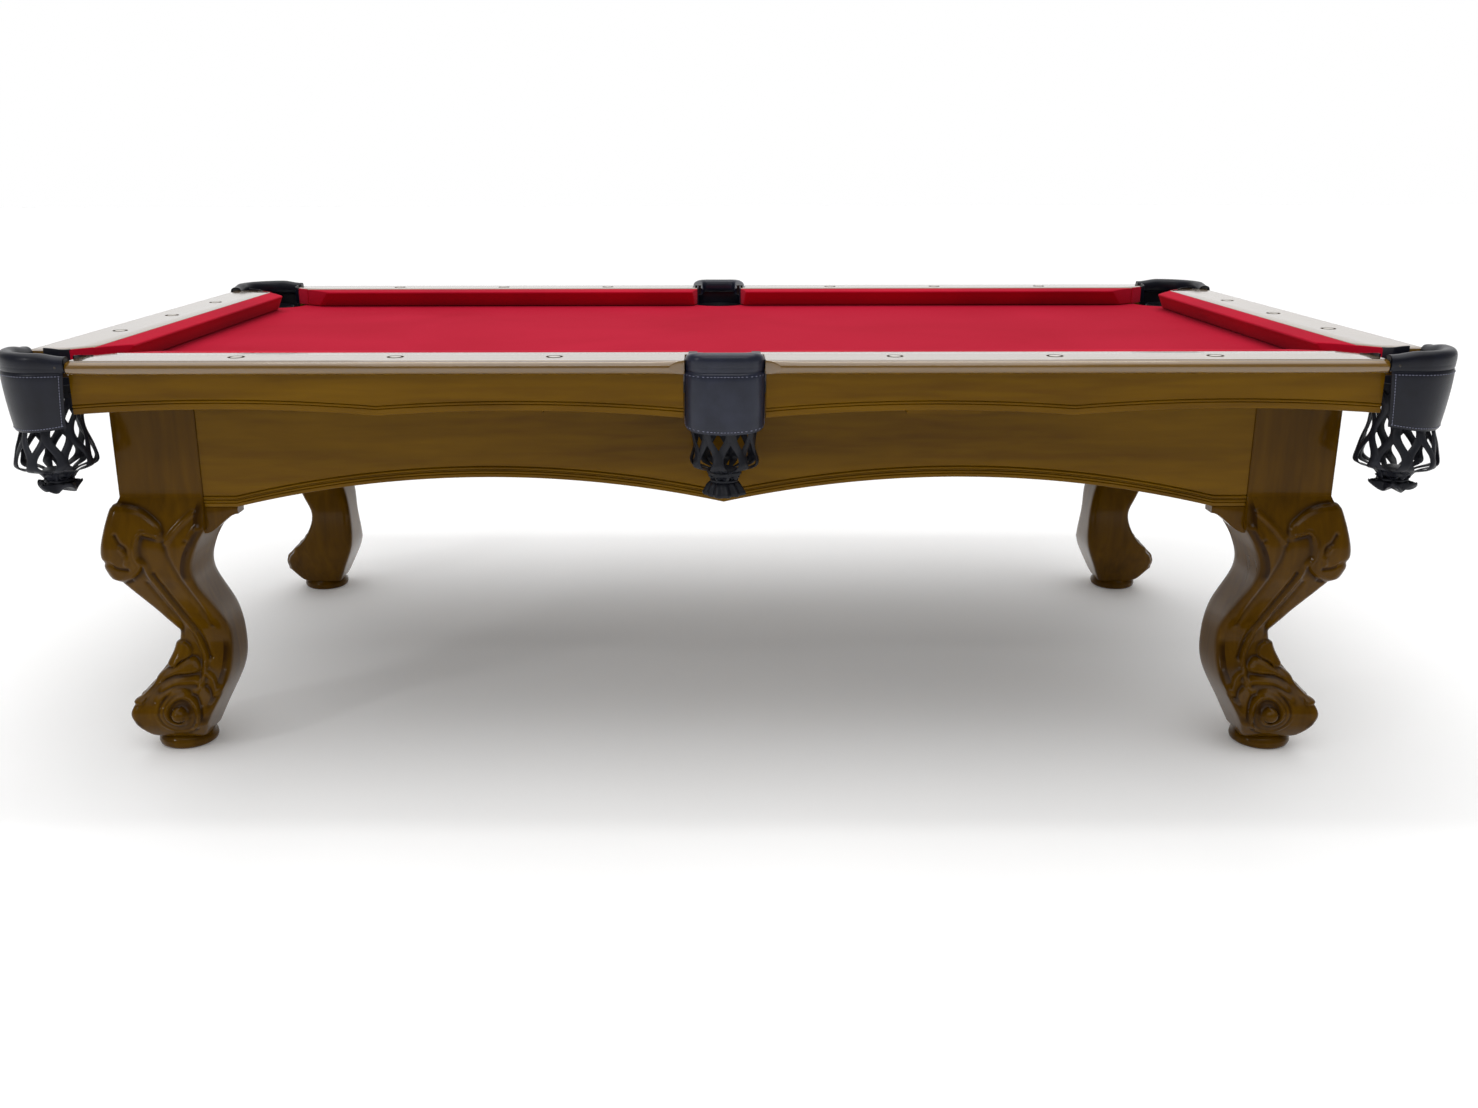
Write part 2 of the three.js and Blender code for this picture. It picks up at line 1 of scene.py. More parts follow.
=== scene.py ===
"""An eight-foot pool table on carved cabriole legs, dressed round its fixed frame.

Metres, +Z up, +X along the table, the front towards -Y, the origin on the floor under the bed's centre.
Two kinds of local coordinates are used. Round a rail, s runs along it, u outward from the cushion's nose.
Round a post, a is measured outward from the post's outer faces, the same way on both of them.
"""

import logging
import math
from collections.abc import Callable
from dataclasses import dataclass, field
from enum import Enum

import bmesh
import bpy
import numpy as np
from mathutils import Matrix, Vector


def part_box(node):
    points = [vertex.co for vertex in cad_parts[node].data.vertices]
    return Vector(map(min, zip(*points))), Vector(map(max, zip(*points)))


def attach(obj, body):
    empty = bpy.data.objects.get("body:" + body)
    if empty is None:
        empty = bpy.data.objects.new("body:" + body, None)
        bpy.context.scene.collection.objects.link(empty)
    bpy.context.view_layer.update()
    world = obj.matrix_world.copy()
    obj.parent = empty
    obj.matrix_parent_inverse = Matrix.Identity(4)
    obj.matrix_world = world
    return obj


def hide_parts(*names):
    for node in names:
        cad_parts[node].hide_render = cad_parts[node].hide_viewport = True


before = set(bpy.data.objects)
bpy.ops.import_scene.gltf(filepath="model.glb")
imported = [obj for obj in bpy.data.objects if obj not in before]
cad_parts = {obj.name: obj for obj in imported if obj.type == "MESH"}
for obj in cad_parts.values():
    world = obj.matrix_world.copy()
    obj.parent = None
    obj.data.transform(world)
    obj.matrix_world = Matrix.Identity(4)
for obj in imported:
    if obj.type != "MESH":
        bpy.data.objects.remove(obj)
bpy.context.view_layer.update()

log = logging.getLogger("pool_table")
MM = 0.001
CORNERS = ("front_left", "front_right", "back_left", "back_right")
MERGE_DISTANCE = 2e-6
# A rounded edge has one point between its ends: 0.3 of the ease in from the end, and 0.29 of it down.
EDGE_IN, EDGE_DOWN = 0.3, 0.29
# The sockets that a Mix node uses for colours: the first colour, the second and the result.
MIX_FIRST, MIX_SECOND, MIX_RESULT = 6, 7, 2


def corner_signs(name: str) -> tuple:
    """Which side a corner is on, along X and Y: -1 for left and front, 1 for right and back."""
    return (-1 if "left" in name else 1), (-1 if "front" in name else 1)


# ---------------------------------------------------------------- shapes


def smoothstep(low: float, high: float, x: np.ndarray) -> np.ndarray:
    """Rises from 0 at low to 1 at high along the cubic 3t^2 - 2t^3.

    Args:
        low: where the rise starts.
        high: where it ends.
        x: places to work out.

    Returns:
        The share risen at each place.
    """
    t = np.clip((x - low) / (high - low), 0.0, 1.0)
    return t * t * (3.0 - 2.0 * t)


def smooth_curve(points: list, count: int, closed: bool = False) -> np.ndarray:
    """Carries a Catmull-Rom curve through points.

    On each stretch it is half the sum of the four nearest points, each times its cubic weight.

    Args:
        points: the points that the curve passes through.
        count: how many places to work out, evenly along the stretches.
        closed: whether the curve comes back to its first point.

    Returns:
        The places, one row each.
    """
    knots = np.asarray(points, dtype=float)
    total = len(knots)
    spans = total if closed else total - 1
    place = np.linspace(0.0, spans, count, endpoint=not closed)
    start = np.minimum(place.astype(int), spans - 1)
    f = (place - start)[:, None]

    def knot(step: int) -> np.ndarray:
        """The knots that lie step places past each stretch's start."""
        index = start + step
        return knots[index % total] if closed else knots[np.clip(index, 0, total - 1)]

    before, here, ahead, beyond = knot(-1), knot(0), knot(1), knot(2)
    return 0.5 * (
        2 * here
        + (ahead - before) * f
        + (2 * before - 5 * here + 4 * ahead - beyond) * f**2
        + (3 * here - before - 3 * ahead + beyond) * f**3
    )


def quarter_turned(points: np.ndarray, turns: int) -> np.ndarray:
    """Turns points about the vertical axis by whole quarter turns: (x, y) becomes (-y, x) each time.

    Args:
        points: positions, with the coordinates last.
        turns: how many quarter turns.

    Returns:
        The turned positions.
    """
    angle = turns * math.pi / 2
    c, s = round(math.cos(angle)), round(math.sin(angle))
    x, y, z = points[..., 0], points[..., 1], points[..., 2]
    return np.stack([c * x - s * y, s * x + c * y, z], axis=-1)


class Cap(Enum):
    """How the two ends of a tube of sections are closed."""

    NONE = "none"
    FAN = "fan"
    STRIP = "strip"


class Shell:
    """Closed surfaces gathered from grids before they become one mesh."""

    def __init__(self) -> None:
        """Starts with no surface."""
        self.points: list[np.ndarray] = []
        self.faces: list[list[int]] = []
        self.marks: list[int] = []
        self.recess_shade: list[np.ndarray] = []
        self.count = 0

    def _keep(self, points: np.ndarray, recess_shade: np.ndarray | None = None) -> int:
        """Keeps points and says at which number they start.

        Args:
            points: positions, one row each.
            recess_shade: how far each lies in a recess, from 0 to 1, which sets its painted shade.

        Returns:
            The number of the first one.
        """
        first = self.count
        self.points.append(points)
        self.recess_shade.append(np.zeros(len(points)) if recess_shade is None else recess_shade)
        self.count += len(points)
        return first

    def grid(self, points: np.ndarray, cap: Cap = Cap.FAN, wrap_rows: bool = False,
             mark: int = 0, recess_shade: np.ndarray | None = None, row_marks: list | None = None) -> None:
        """Adds a tube: each row of the grid is a closed section, joined by quads to the next row.

        Args:
            points: positions by row and column.
            cap: how the first and last rows are closed.
            wrap_rows: whether the last row joins the first.
            mark: the number of the material.
            recess_shade: how far each point lies in a recess, by row and column, which sets its painted
                shade.
            row_marks: the material of each stretch between rows, in place of mark.
        """
        rows, columns = points.shape[:2]
        first = self._keep(points.reshape(-1, 3), None if recess_shade is None else recess_shade.ravel())
        number = first + np.arange(rows * columns).reshape(rows, columns)
        upper = np.roll(number, -1, axis=0) if wrap_rows else number[1:]
        lower = number if wrap_rows else number[:-1]
        quads = np.stack(
            [lower, np.roll(lower, -1, 1), np.roll(upper, -1, 1), upper], axis=-1).reshape(-1, 4)
        self.faces.extend(quads.tolist())
        kinds = np.full(len(lower), mark) if row_marks is None else np.asarray(row_marks)
        self.marks.extend(np.repeat(kinds, columns).tolist())
        if cap is Cap.NONE:
            return
        for row in (0, rows - 1):
            if cap is Cap.STRIP:
                j = np.arange(columns // 2 - 1)
                ring = number[row]
                ends = np.stack([ring[j], ring[j + 1], ring[columns - 2 - j], ring[columns - 1 - j]], axis=-1)
            else:
                middle = self._keep(points[row].mean(axis=0)[None])
                ring = number[row]
                ends = np.stack([ring, np.roll(ring, -1), np.full(columns, middle)], axis=-1)
            self.faces.extend(ends.tolist())
            self.marks.extend([mark] * len(ends))

    def loft(self, u: np.ndarray, top: np.ndarray, bottom: np.ndarray, ends: tuple, place: Callable,
             rows: int = 10, ease: float = 0.0, mark: int = 0) -> None:
        """Adds a slab whose section (u, top and bottom) is carried along s between two shaped ends.

        The ends are ruled upright surfaces: at each u the slab runs from ends[0](u) to ends[1](u), and it
        draws in by ease above and below as it gets to them.

        Args:
            u: places across the slab.
            top: height of its top at each.
            bottom: height of its underside at each.
            ends: the two arrays of s at each u.
            place: turns s, u and z into positions.
            rows: sections along it.
            ease: how far its end edges are rounded off.
            mark: the number of the material.
        """
        start, stop = ends
        inner = start + ease + (stop - start - 2 * ease) * np.linspace(0, 1, rows)[:, None]
        s, drop = inner, np.zeros(rows)
        if ease > 0:
            near = np.stack([start, start + EDGE_IN * ease])
            far = np.stack([stop - EDGE_IN * ease, stop])
            s = np.concatenate([near, inner, far])
            drop = np.concatenate([[ease, EDGE_DOWN * ease], drop, [EDGE_DOWN * ease, ease]])
        middle = (top + bottom) / 2
        high = np.maximum(top - drop[:, None], middle)
        low = np.minimum(bottom + drop[:, None], middle)
        wide = np.broadcast_to(u, s.shape)
        z = np.concatenate([high, low[:, ::-1]], axis=1)
        along = np.concatenate([s, s[:, ::-1]], axis=1)
        across = np.concatenate([wide, wide[:, ::-1]], axis=1)
        self.grid(place(along, across, z), Cap.STRIP, mark=mark)

    def lathe(self, radius: np.ndarray, height: np.ndarray, centre: tuple, sides: int = 48,
              pleats: Callable | None = None, hem: Callable | None = None, closed: bool = False,
              row_marks: list | None = None) -> None:
        """Adds a turned surface: (r cos t, r sin t, z) for each point (r, z) of a profile.

        Args:
            radius: the profile's radii.
            height: its heights.
            centre: where its axis stands, in plan.
            sides: columns round it.
            pleats: gives a factor on the radius from the angle and height, for gathers.
            hem: gives a drop from the angle and height, for pointed ends.
            closed: whether the profile comes back to its first point.
            row_marks: the material of each stretch of the profile.
        """
        angle = np.linspace(0, 2 * np.pi, sides, endpoint=False)
        r = np.repeat(radius[:, None], sides, axis=1)
        z = np.repeat(height[:, None], sides, axis=1)
        if pleats is not None:
            r = r * pleats(angle[None, :], z)
        if hem is not None:
            z = z - hem(angle[None, :], z)
        grid = np.stack([centre[0] + r * np.cos(angle), centre[1] + r * np.sin(angle), z], axis=-1)
        self.grid(grid, Cap.NONE, wrap_rows=closed, row_marks=row_marks)

    def grains(self, centres: np.ndarray, along: np.ndarray, outward: np.ndarray,
               half: tuple, mark: int = 0) -> None:
        """Adds many small ellipsoids, such as stitches.

        Each point is the centre plus the three half axes, each times a coordinate of a unit sphere's point.

        Args:
            centres: the middle of each.
            along: the unit direction of its long axis.
            outward: the unit direction away from what it lies on.
            half: its half sizes along, across and outward.
            mark: the number of the material.
        """
        across = np.cross(outward, along)
        rows, columns = 5, 6
        tilt = np.linspace(-np.pi / 2, np.pi / 2, rows)
        angle = np.linspace(0, 2 * np.pi, columns, endpoint=False)
        ring, rise = np.cos(tilt)[:, None], np.sin(tilt)[:, None]
        lengthways = np.broadcast_to(rise, (rows, columns)) * half[0]
        sideways = ring * np.cos(angle) * half[1]
        upward = ring * np.sin(angle) * half[2]
        for centre, a, b, c in zip(centres, along, across, outward):
            ball = centre + lengthways[..., None] * a + sideways[..., None] * b + upward[..., None] * c
            self.grid(ball, Cap.NONE, mark=mark)

    def build(self, name: str, materials: list, sharp: float = 38.0) -> bpy.types.Object:
        """Makes the mesh object, with doubled points merged and its faces turned outward.

        Args:
            name: the piece's name.
            materials: its materials, in the order of the marks.
            sharp: faces that meet at more than this many degrees keep a sharp edge.

        Returns:
            The new object.
        """
        mesh = bpy.data.meshes.new(name)
        mesh.from_pydata(np.concatenate(self.points).tolist(), [], self.faces)
        for material in materials:
            mesh.materials.append(material)
        mesh.polygons.foreach_set("material_index", self.marks)
        # The recess_shade attribute carries each point's painted shade in recesses to the material.
        recess_shade = mesh.attributes.new("recess_shade", "FLOAT", "POINT")
        recess_shade.data.foreach_set("value", np.concatenate(self.recess_shade))
        shape = bmesh.new()
        shape.from_mesh(mesh)
        bmesh.ops.remove_doubles(shape, verts=shape.verts, dist=MERGE_DISTANCE)
        bmesh.ops.recalc_face_normals(shape, faces=shape.faces)
        shape.to_mesh(mesh)
        shape.free()
        mesh.polygons.foreach_set("use_smooth", np.ones(len(mesh.polygons), dtype=bool))
        mesh.set_sharp_from_angle(angle=math.radians(sharp))
        piece = bpy.data.objects.new(name, mesh)
        bpy.context.scene.collection.objects.link(piece)
        return piece


def settle(piece: bpy.types.Object, slot: str, *nodes: str) -> bpy.types.Object:
    """Rides a piece on the table, lets it stand for CAD nodes and reports it.

    Args:
        piece: the finished piece.
        slot: the name of the record's material slot, which is only logged.
        nodes: the CAD nodes that it stands for.

    Returns:
        The same piece.
    """
    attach(piece, "root")
    if nodes:
        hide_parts(*nodes)
    log.info("%s: %d faces, slot %s", piece.name, len(piece.data.polygons), slot)
    return piece


# ---------------------------------------------------------------- finishes


class Wiring:
    """A material's nodes, added and joined by short calls round one Principled shader."""

    def __init__(self, name: str) -> None:
        """Starts a material with a shader and its output.

        Args:
            name: the material's name.
        """
        self.material = bpy.data.materials.new(name)
        self.material.use_nodes = True
        self.tree = self.material.node_tree
        self.tree.nodes.clear()
        self.shader = self.add("ShaderNodeBsdfPrincipled")
        output = self.add("ShaderNodeOutputMaterial")
        self.tree.links.new(self.shader.outputs[0], output.inputs["Surface"])

    def add(self, kind: str, **settings) -> bpy.types.Node:
        """Adds a node with its settings.

        Args:
            kind: the type of the node.
            settings: its properties by name.

        Returns:
            The new node.
        """
        node = self.tree.nodes.new(kind)
        for key, value in settings.items():
            setattr(node, key, value)
        return node

    def set(self, **values) -> None:
        """Sets constant values on the shader's sockets, with _ for a space in their names."""
        for key, value in values.items():
            self.shader.inputs[key.replace("_", " ")].default_value = value

    def feed(self, socket: str, source: bpy.types.NodeSocket) -> None:
        """Joins a source to one of the shader's sockets."""
        self.tree.links.new(source, self.shader.inputs[socket])

    def place(self, scale: tuple) -> bpy.types.NodeSocket:
        """Object coordinates stretched by a scale on each axis.

        Args:
            scale: the stretch on each axis.

        Returns:
            The socket that gives the place.
        """
        coordinates = self.add("ShaderNodeTexCoord")
        mapping = self.add("ShaderNodeMapping")
        mapping.inputs["Scale"].default_value = scale
        self.tree.links.new(coordinates.outputs["Object"], mapping.inputs["Vector"])
        return mapping.outputs["Vector"]

    def noise(self, where: bpy.types.NodeSocket, scale: float, detail: float = 4.0,
              distortion: float = 0.0) -> bpy.types.NodeSocket:
        """Cloudy noise of a given scale over a place.

        Args:
            where: the place.
            scale: clouds to a metre, about.
            detail: how many finer layers it has.
            distortion: how far it is warped.

        Returns:
            The socket that gives the noise.
        """
        node = self.add("ShaderNodeTexNoise")
        node.inputs["Scale"].default_value = scale
        node.inputs["Detail"].default_value = detail
        node.inputs["Distortion"].default_value = distortion
        self.tree.links.new(where, node.inputs["Vector"])
        return node.outputs[0]

    def wave(self, where: bpy.types.NodeSocket, scale: float, direction: str,
             distortion: float = 0.0) -> bpy.types.NodeSocket:
        """Even bands across one axis.

        Args:
            where: the place.
            scale: how close the bands are.
            direction: the axis, X, Y or Z.
            distortion: how far they waver.

        Returns:
            The socket that gives the bands.
        """
        node = self.add("ShaderNodeTexWave", bands_direction=direction)
        node.inputs["Scale"].default_value = scale
        node.inputs["Distortion"].default_value = distortion
        self.tree.links.new(where, node.inputs["Vector"])
        return node.outputs["Fac"]

    def ramp(self, factor: bpy.types.NodeSocket, stops: list) -> bpy.types.NodeSocket:
        """Colours laid out along a factor as (position, colour) stops.

        Args:
            factor: what chooses the colour.
            stops: the positions and colours.

        Returns:
            The socket that gives the colour.
        """
        node = self.add("ShaderNodeValToRGB")
        while len(node.color_ramp.elements) < len(stops):
            node.color_ramp.elements.new(1.0)
        for element, (position, colour) in zip(node.color_ramp.elements, stops):
            element.position = position
            element.color = (*colour, 1.0)
        self.tree.links.new(factor, node.inputs["Fac"])
        return node.outputs["Color"]

    def spread(self, factor: bpy.types.NodeSocket, low: float, high: float) -> bpy.types.NodeSocket:
        """A factor from 0 to 1 spread from low to high.

        Args:
            factor: what is spread.
            low: what 0 becomes.
            high: what 1 becomes.

        Returns:
            The socket that gives the result.
        """
        node = self.add("ShaderNodeMapRange")
        node.inputs["To Min"].default_value = low
        node.inputs["To Max"].default_value = high
        self.tree.links.new(factor, node.inputs["Value"])
        return node.outputs[0]

    def reckon(self, operation: str, a: bpy.types.NodeSocket,
               b: bpy.types.NodeSocket | float) -> bpy.types.NodeSocket:
        """A sum worked out of a source and a second source or number.

        Args:
            operation: the name of the sum.
            a: the source.
            b: the second source, or a number.

        Returns:
            The socket that gives the result.
        """
        node = self.add("ShaderNodeMath", operation=operation)
        self.tree.links.new(a, node.inputs[0])
        if isinstance(b, float):
            node.inputs[1].default_value = b
        else:
            self.tree.links.new(b, node.inputs[1])
        return node.outputs[0]

    def darken(self, colour: bpy.types.NodeSocket, factor: bpy.types.NodeSocket,
               shade: tuple) -> bpy.types.NodeSocket:
        """A colour multiplied towards a shade by a factor.

        Args:
            colour: the colour.
            factor: how far it is darkened, from 0 to 1.
            shade: what it is multiplied by.

        Returns:
            The socket that gives the colour.
        """
        node = self.add("ShaderNodeMix", data_type="RGBA", blend_type="MULTIPLY")
        self.tree.links.new(factor, node.inputs["Factor"])
        self.tree.links.new(colour, node.inputs[MIX_FIRST])
        node.inputs[MIX_SECOND].default_value = (*shade, 1.0)
        return node.outputs[MIX_RESULT]

    def bump(self, height: bpy.types.NodeSocket, strength: float, distance: float) -> None:
        """Feeds a small relief to the shader's normal.

        Args:
            height: the relief.
            strength: how much of it shows.
            distance: its depth in metres.
        """
        node = self.add("ShaderNodeBump")
        node.inputs["Strength"].default_value = strength
        node.inputs["Distance"].default_value = distance
        self.tree.links.new(height, node.inputs["Height"])
        self.feed("Normal", node.outputs["Normal"])


class Grain(Enum):
    """Which way the wood's grain runs, as the stretch of its pattern on each axis."""

    LENGTHWAYS = (0.10, 1.0, 1.0)
    CROSSWAYS = (1.0, 0.10, 1.0)
    UPRIGHT = (1.0, 1.0, 0.10)


@dataclass(frozen=True)
class Lacquer:
    """Stained wood under clear lacquer, with painted shade that darkens it in recesses."""

    name: str
    grain: Grain
    dark: tuple = (0.102, 0.046, 0.0001)
    middle: tuple = (0.148, 0.070, 0.0001)
    light: tuple = (0.188, 0.092, 0.0006)
    roughness: float = 0.36
    specular: float = 0.06
    coat: float = 0.16
    coat_roughness: float = 0.14
    coat_ior: float = 1.42
    # Painted shade: the colour that the base colour is multiplied towards in recesses.
    painted_recess_colour: tuple = (0.32, 0.27, 0.19)

    def build(self) -> bpy.types.Material:
        """Works out streaks, pores and worn gloss along the grain.

        Returns:
            The material.
        """
        w = Wiring(self.name)
        where = w.place(self.grain.value)
        figure = w.noise(where, scale=7.0, detail=3.0, distortion=1.2)
        streaks = w.noise(where, scale=60.0, detail=7.0, distortion=0.4)
        pores = w.noise(where, scale=420.0, detail=3.0)
        both = w.reckon("ADD", w.reckon("MULTIPLY", figure, 0.55), w.reckon("MULTIPLY", streaks, 0.45))
        colour = w.ramp(both, [(0.34, self.dark), (0.52, self.middle), (0.70, self.light)])
        # Painted shade: the recess_shade attribute darkens the base colour in the carving's recesses.
        recess = w.add("ShaderNodeAttribute", attribute_name="recess_shade").outputs["Fac"]
        w.feed("Base Color", w.darken(colour, recess, self.painted_recess_colour))
        w.feed("Roughness", w.spread(figure, low=self.roughness - 0.08, high=self.roughness + 0.10))
        relief = w.reckon("ADD", pores, w.reckon("MULTIPLY", streaks, 0.6))
        w.bump(relief, strength=0.12, distance=0.0004)
        w.set(Coat_Weight=self.coat, Coat_Roughness=self.coat_roughness, Coat_IOR=self.coat_ior,
              Specular_IOR_Level=self.specular)
        return w.material


@dataclass(frozen=True)
class Cloth:
    """Worsted table cloth: a fine even weave under a short nap."""

    name: str
    colour: tuple = (0.435, 0.0085, 0.031)
    shade: tuple = (0.375, 0.0052, 0.022)
    thread: float = 1.1 * MM
    sheen: float = 0.05
    band_scale: float = 0.05

    def build(self) -> bpy.types.Material:
        """Works out two sets of threads and soft brushed clouds.

        Returns:
            The material.
        """
        w = Wiring(self.name)
        where = w.place((1.0, 1.0, 1.0))
        threads_per_metre = 1.0 / self.thread
        weft = w.wave(where, threads_per_metre * self.band_scale, "X", distortion=1.0)
        warp = w.wave(where, threads_per_metre * self.band_scale, "Y", distortion=1.0)
        nap = w.noise(where, scale=900.0, detail=3.0)
        clouds = w.noise(where, scale=2.4, detail=5.0, distortion=0.6)
        mottle = w.reckon("ADD", w.reckon("MULTIPLY", clouds, 0.7), w.reckon("MULTIPLY", nap, 0.3))
        w.feed("Base Color", w.ramp(mottle, [(0.35, self.shade), (0.62, self.colour)]))
        weave = w.reckon("MULTIPLY", weft, warp)
        w.bump(w.reckon("ADD", weave, nap), strength=0.25, distance=0.0003)
        w.set(Roughness=0.92, Sheen_Weight=self.sheen, Sheen_Roughness=0.45,
              Sheen_Tint=(1.0, 0.30, 0.42, 1.0), Specular_IOR_Level=0.04)
        return w.material


@dataclass(frozen=True)
class Hide:
    """Dyed leather with pebbled grain, rubbed smoother in patches."""

    name: str
    colour: tuple = (0.0055, 0.0070, 0.0160)
    worn: tuple = (0.0100, 0.0125, 0.0270)
    pebble: float = 650.0
    roughness: float = 0.34
    gloss: float = 0.05

    def build(self) -> bpy.types.Material:
        """Works out the pebbles, their creases and the rubbed patches.

        Returns:
            The material.
        """
        w = Wiring(self.name)
        where = w.place((1.0, 1.0, 1.0))
        cells = w.add("ShaderNodeTexVoronoi", feature="DISTANCE_TO_EDGE")
        cells.inputs["Scale"].default_value = self.pebble
        w.tree.links.new(where, cells.inputs["Vector"])
        patches = w.noise(where, scale=22.0, detail=5.0)
        fine = w.noise(where, scale=260.0, detail=4.0)
        w.feed("Base Color", w.ramp(patches, [(0.38, self.colour), (0.70, self.worn)]))
        w.feed("Roughness", w.spread(patches, low=self.roughness + 0.10, high=self.roughness - 0.06))
        w.bump(w.reckon("ADD", cells.outputs["Distance"], fine), strength=0.22, distance=0.0006)
        w.set(Specular_IOR_Level=0.25, Coat_Weight=self.gloss, Coat_Roughness=0.17)
        return w.material


@dataclass(frozen=True)
class Plain:
    """A stone, metal, thread, timber or floor finish: mottled colour, uneven gloss and a fine tooth."""

    name: str
    dark: tuple
    light: tuple
    scale: float
    roughness: float
    metallic: float = 0.0
    stretch: tuple = (1.0, 1.0, 1.0)
    tooth: float = 0.2
    specular: float = 0.5
    glow: float = 0.0
    grit_scale: float = 24.0

    def build(self) -> bpy.types.Material:
        """Works out the mottle and the tooth from two scales of noise.

        Returns:
            The material.
        """
        w = Wiring(self.name)
        where = w.place(self.stretch)
        mottle = w.noise(where, self.scale, detail=6.0, distortion=0.5)
        grit = w.noise(where, self.scale * self.grit_scale, detail=3.0)
        w.feed("Base Color", w.ramp(mottle, [(0.35, self.dark), (0.66, self.light)]))
        w.feed("Roughness", w.spread(mottle, low=self.roughness - 0.08, high=self.roughness + 0.08))
        w.bump(grit, self.tooth, distance=0.0004)
        w.set(Metallic=self.metallic, Specular_IOR_Level=self.specular)
        w.set(Emission_Color=(1.0, 1.0, 1.0, 1.0), Emission_Strength=self.glow)
        return w.material


class Finishes:
    """Every material of the table, made once."""

    def __init__(self) -> None:
        """Builds the finishes."""
        self.wood = {grain: Lacquer(f"walnut_{grain.name.lower()}", grain).build() for grain in Grain}
        self.leg = Lacquer("walnut_leg", Grain.UPRIGHT, dark=(0.068, 0.029, 0.0001),
                           middle=(0.097, 0.043, 0.0001), light=(0.125, 0.058, 0.0004), roughness=0.30,
                           specular=0.03, coat=0.60, coat_roughness=0.11, coat_ior=1.24).build()
        gloss = {"roughness": 0.22, "specular": 0.5, "coat": 1.0, "coat_roughness": 0.08, "coat_ior": 1.7}
        self.rail = {grain: Lacquer(f"rail_{grain.name.lower()}", grain, **gloss).build() for grain in Grain}
        self.bed = Cloth("bed_worsted").build()
        self.cushion = Cloth("cushion_worsted", colour=(0.50, 0.006, 0.026), sheen=0.10).build()
        # Painted light and shade: one hide in two copies, lighter for the side pockets and darker for the
        # corner pockets.
        self.leather = Hide("side_pocket_hide_painted_light", colour=(0.0085, 0.0108, 0.0230),
                            worn=(0.0155, 0.0190, 0.0380), gloss=0.30).build()
        self.corner_leather_painted_shade = Hide("corner_pocket_hide_painted_shade", colour=(0.0030, 0.0036, 0.0085),
                                   worn=(0.0058, 0.0070, 0.0150)).build()
        self.net = Hide("net_hide", colour=(0.007, 0.008, 0.012), worn=(0.012, 0.013, 0.020),
                        roughness=0.44, pebble=900.0).build()
        self.thread = Plain("waxed_thread", (0.13, 0.135, 0.20), (0.20, 0.21, 0.30), 90.0, 0.5).build()
        self.ring = Plain("sight_ring", (0.02, 0.012, 0.006), (0.05, 0.03, 0.014), 80.0, 0.85,
                          specular=0.05).build()
        self.inlay = Plain("sight_inlay", (0.50, 0.47, 0.42), (0.66, 0.63, 0.58), 60.0, 0.45).build()
        self.stud = Plain("stud_bronzed", (0.05, 0.045, 0.04), (0.10, 0.09, 0.08), 60.0, 0.30, 1.0).build()
        self.slate = Plain("honed_slate", (0.05, 0.056, 0.062), (0.10, 0.11, 0.118), 9.0, 0.62).build()
        self.iron = Plain("japanned_iron", (0.012, 0.012, 0.013), (0.03, 0.03, 0.032), 40.0, 0.45,
                          metallic=0.6).build()
        self.timber = Plain("planed_timber", (0.36, 0.22, 0.10), (0.52, 0.36, 0.19), 14.0, 0.6,
                            stretch=(0.2, 1.0, 1.0)).build()


# ---------------------------------------------------------------- where things stand


class Side(Enum):
    """The four sides, as quarter turns from the front."""

    FRONT = 0
    RIGHT = 1
    BACK = 2
    LEFT = 3


@dataclass(frozen=True)
class Playfield:
    """The levels and outlines that the pieces share."""

    half_length: float = 1117.5 * MM
    half_width: float = 559.0 * MM
    rail_outer: float = 165.0 * MM
    cushion_depth: float = 50.0 * MM
    corner_span: float = 146.5 * MM
    bed_top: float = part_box("bed_cloth")[1][2]
    rail_top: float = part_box("rail_front_left")[1][2]
    cabinet_top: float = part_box("apron_front")[1][2]
    leather_top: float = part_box("pocket_leather_front_left")[1][2]
    post_x: float = 1135.0 * MM
    post_y: float = 576.5 * MM
    post_size: float = 158.0 * MM


FIELD = Playfield()


@dataclass(frozen=True)
class Stretch:
    """One length of rail, cushion and skirt between two pockets."""

    name: str
    side: Side
    mirror: int
    meets_side_pocket: bool

    @property
    def half_across(self) -> float:
        """The nose's distance from the table's centre."""
        return FIELD.half_width if self.side in (Side.FRONT, Side.BACK) else FIELD.half_length

    @property
    def half_nose(self) -> float:
        """Half the playing size that the stretch runs along."""
        return FIELD.half_length if self.side in (Side.FRONT, Side.BACK) else FIELD.half_width

    @property
    def grain(self) -> Grain:
        """The grain runs along the stretch."""
        return Grain.LENGTHWAYS if self.side in (Side.FRONT, Side.BACK) else Grain.CROSSWAYS

    def place(self, s: np.ndarray, u: np.ndarray, z: np.ndarray) -> np.ndarray:
        """Turns s, u and z into positions: (mirror s, -(half across + u), z), turned to its side.

        Args:
            s: places along the stretch.
            u: places outward from the nose.
            z: heights.

        Returns:
            The positions.
        """
        s, u, z = np.broadcast_arrays(s, u, z)
        front = np.stack([self.mirror * s, -self.half_across - u, z], axis=-1)
        return quarter_turned(front, self.side.value)


STRETCHES = (
    Stretch("front_right", Side.FRONT, 1, True),
    Stretch("front_left", Side.FRONT, -1, True),
    Stretch("back_left", Side.BACK, 1, True),
    Stretch("back_right", Side.BACK, -1, True),
    Stretch("right_end", Side.RIGHT, 1, False),
    Stretch("left_end", Side.LEFT, 1, False),
)


def arch(s: np.ndarray, start: tuple, crown: float, stop: tuple) -> np.ndarray:
    """Height of an arched edge: the parabola from start to stop that is at crown half-way between.

    Args:
        s: places along the edge.
        start: its first end as (s, height).
        crown: its height half-way.
        stop: its other end.

    Returns:
        The heights.
    """
    t = (s - start[0]) / (stop[0] - start[0])
    control = 2 * crown - (start[1] + stop[1]) / 2
    return (1 - t) ** 2 * start[1] + 2 * t * (1 - t) * control + t**2 * stop[1]


# ---------------------------------------------------------------- legs


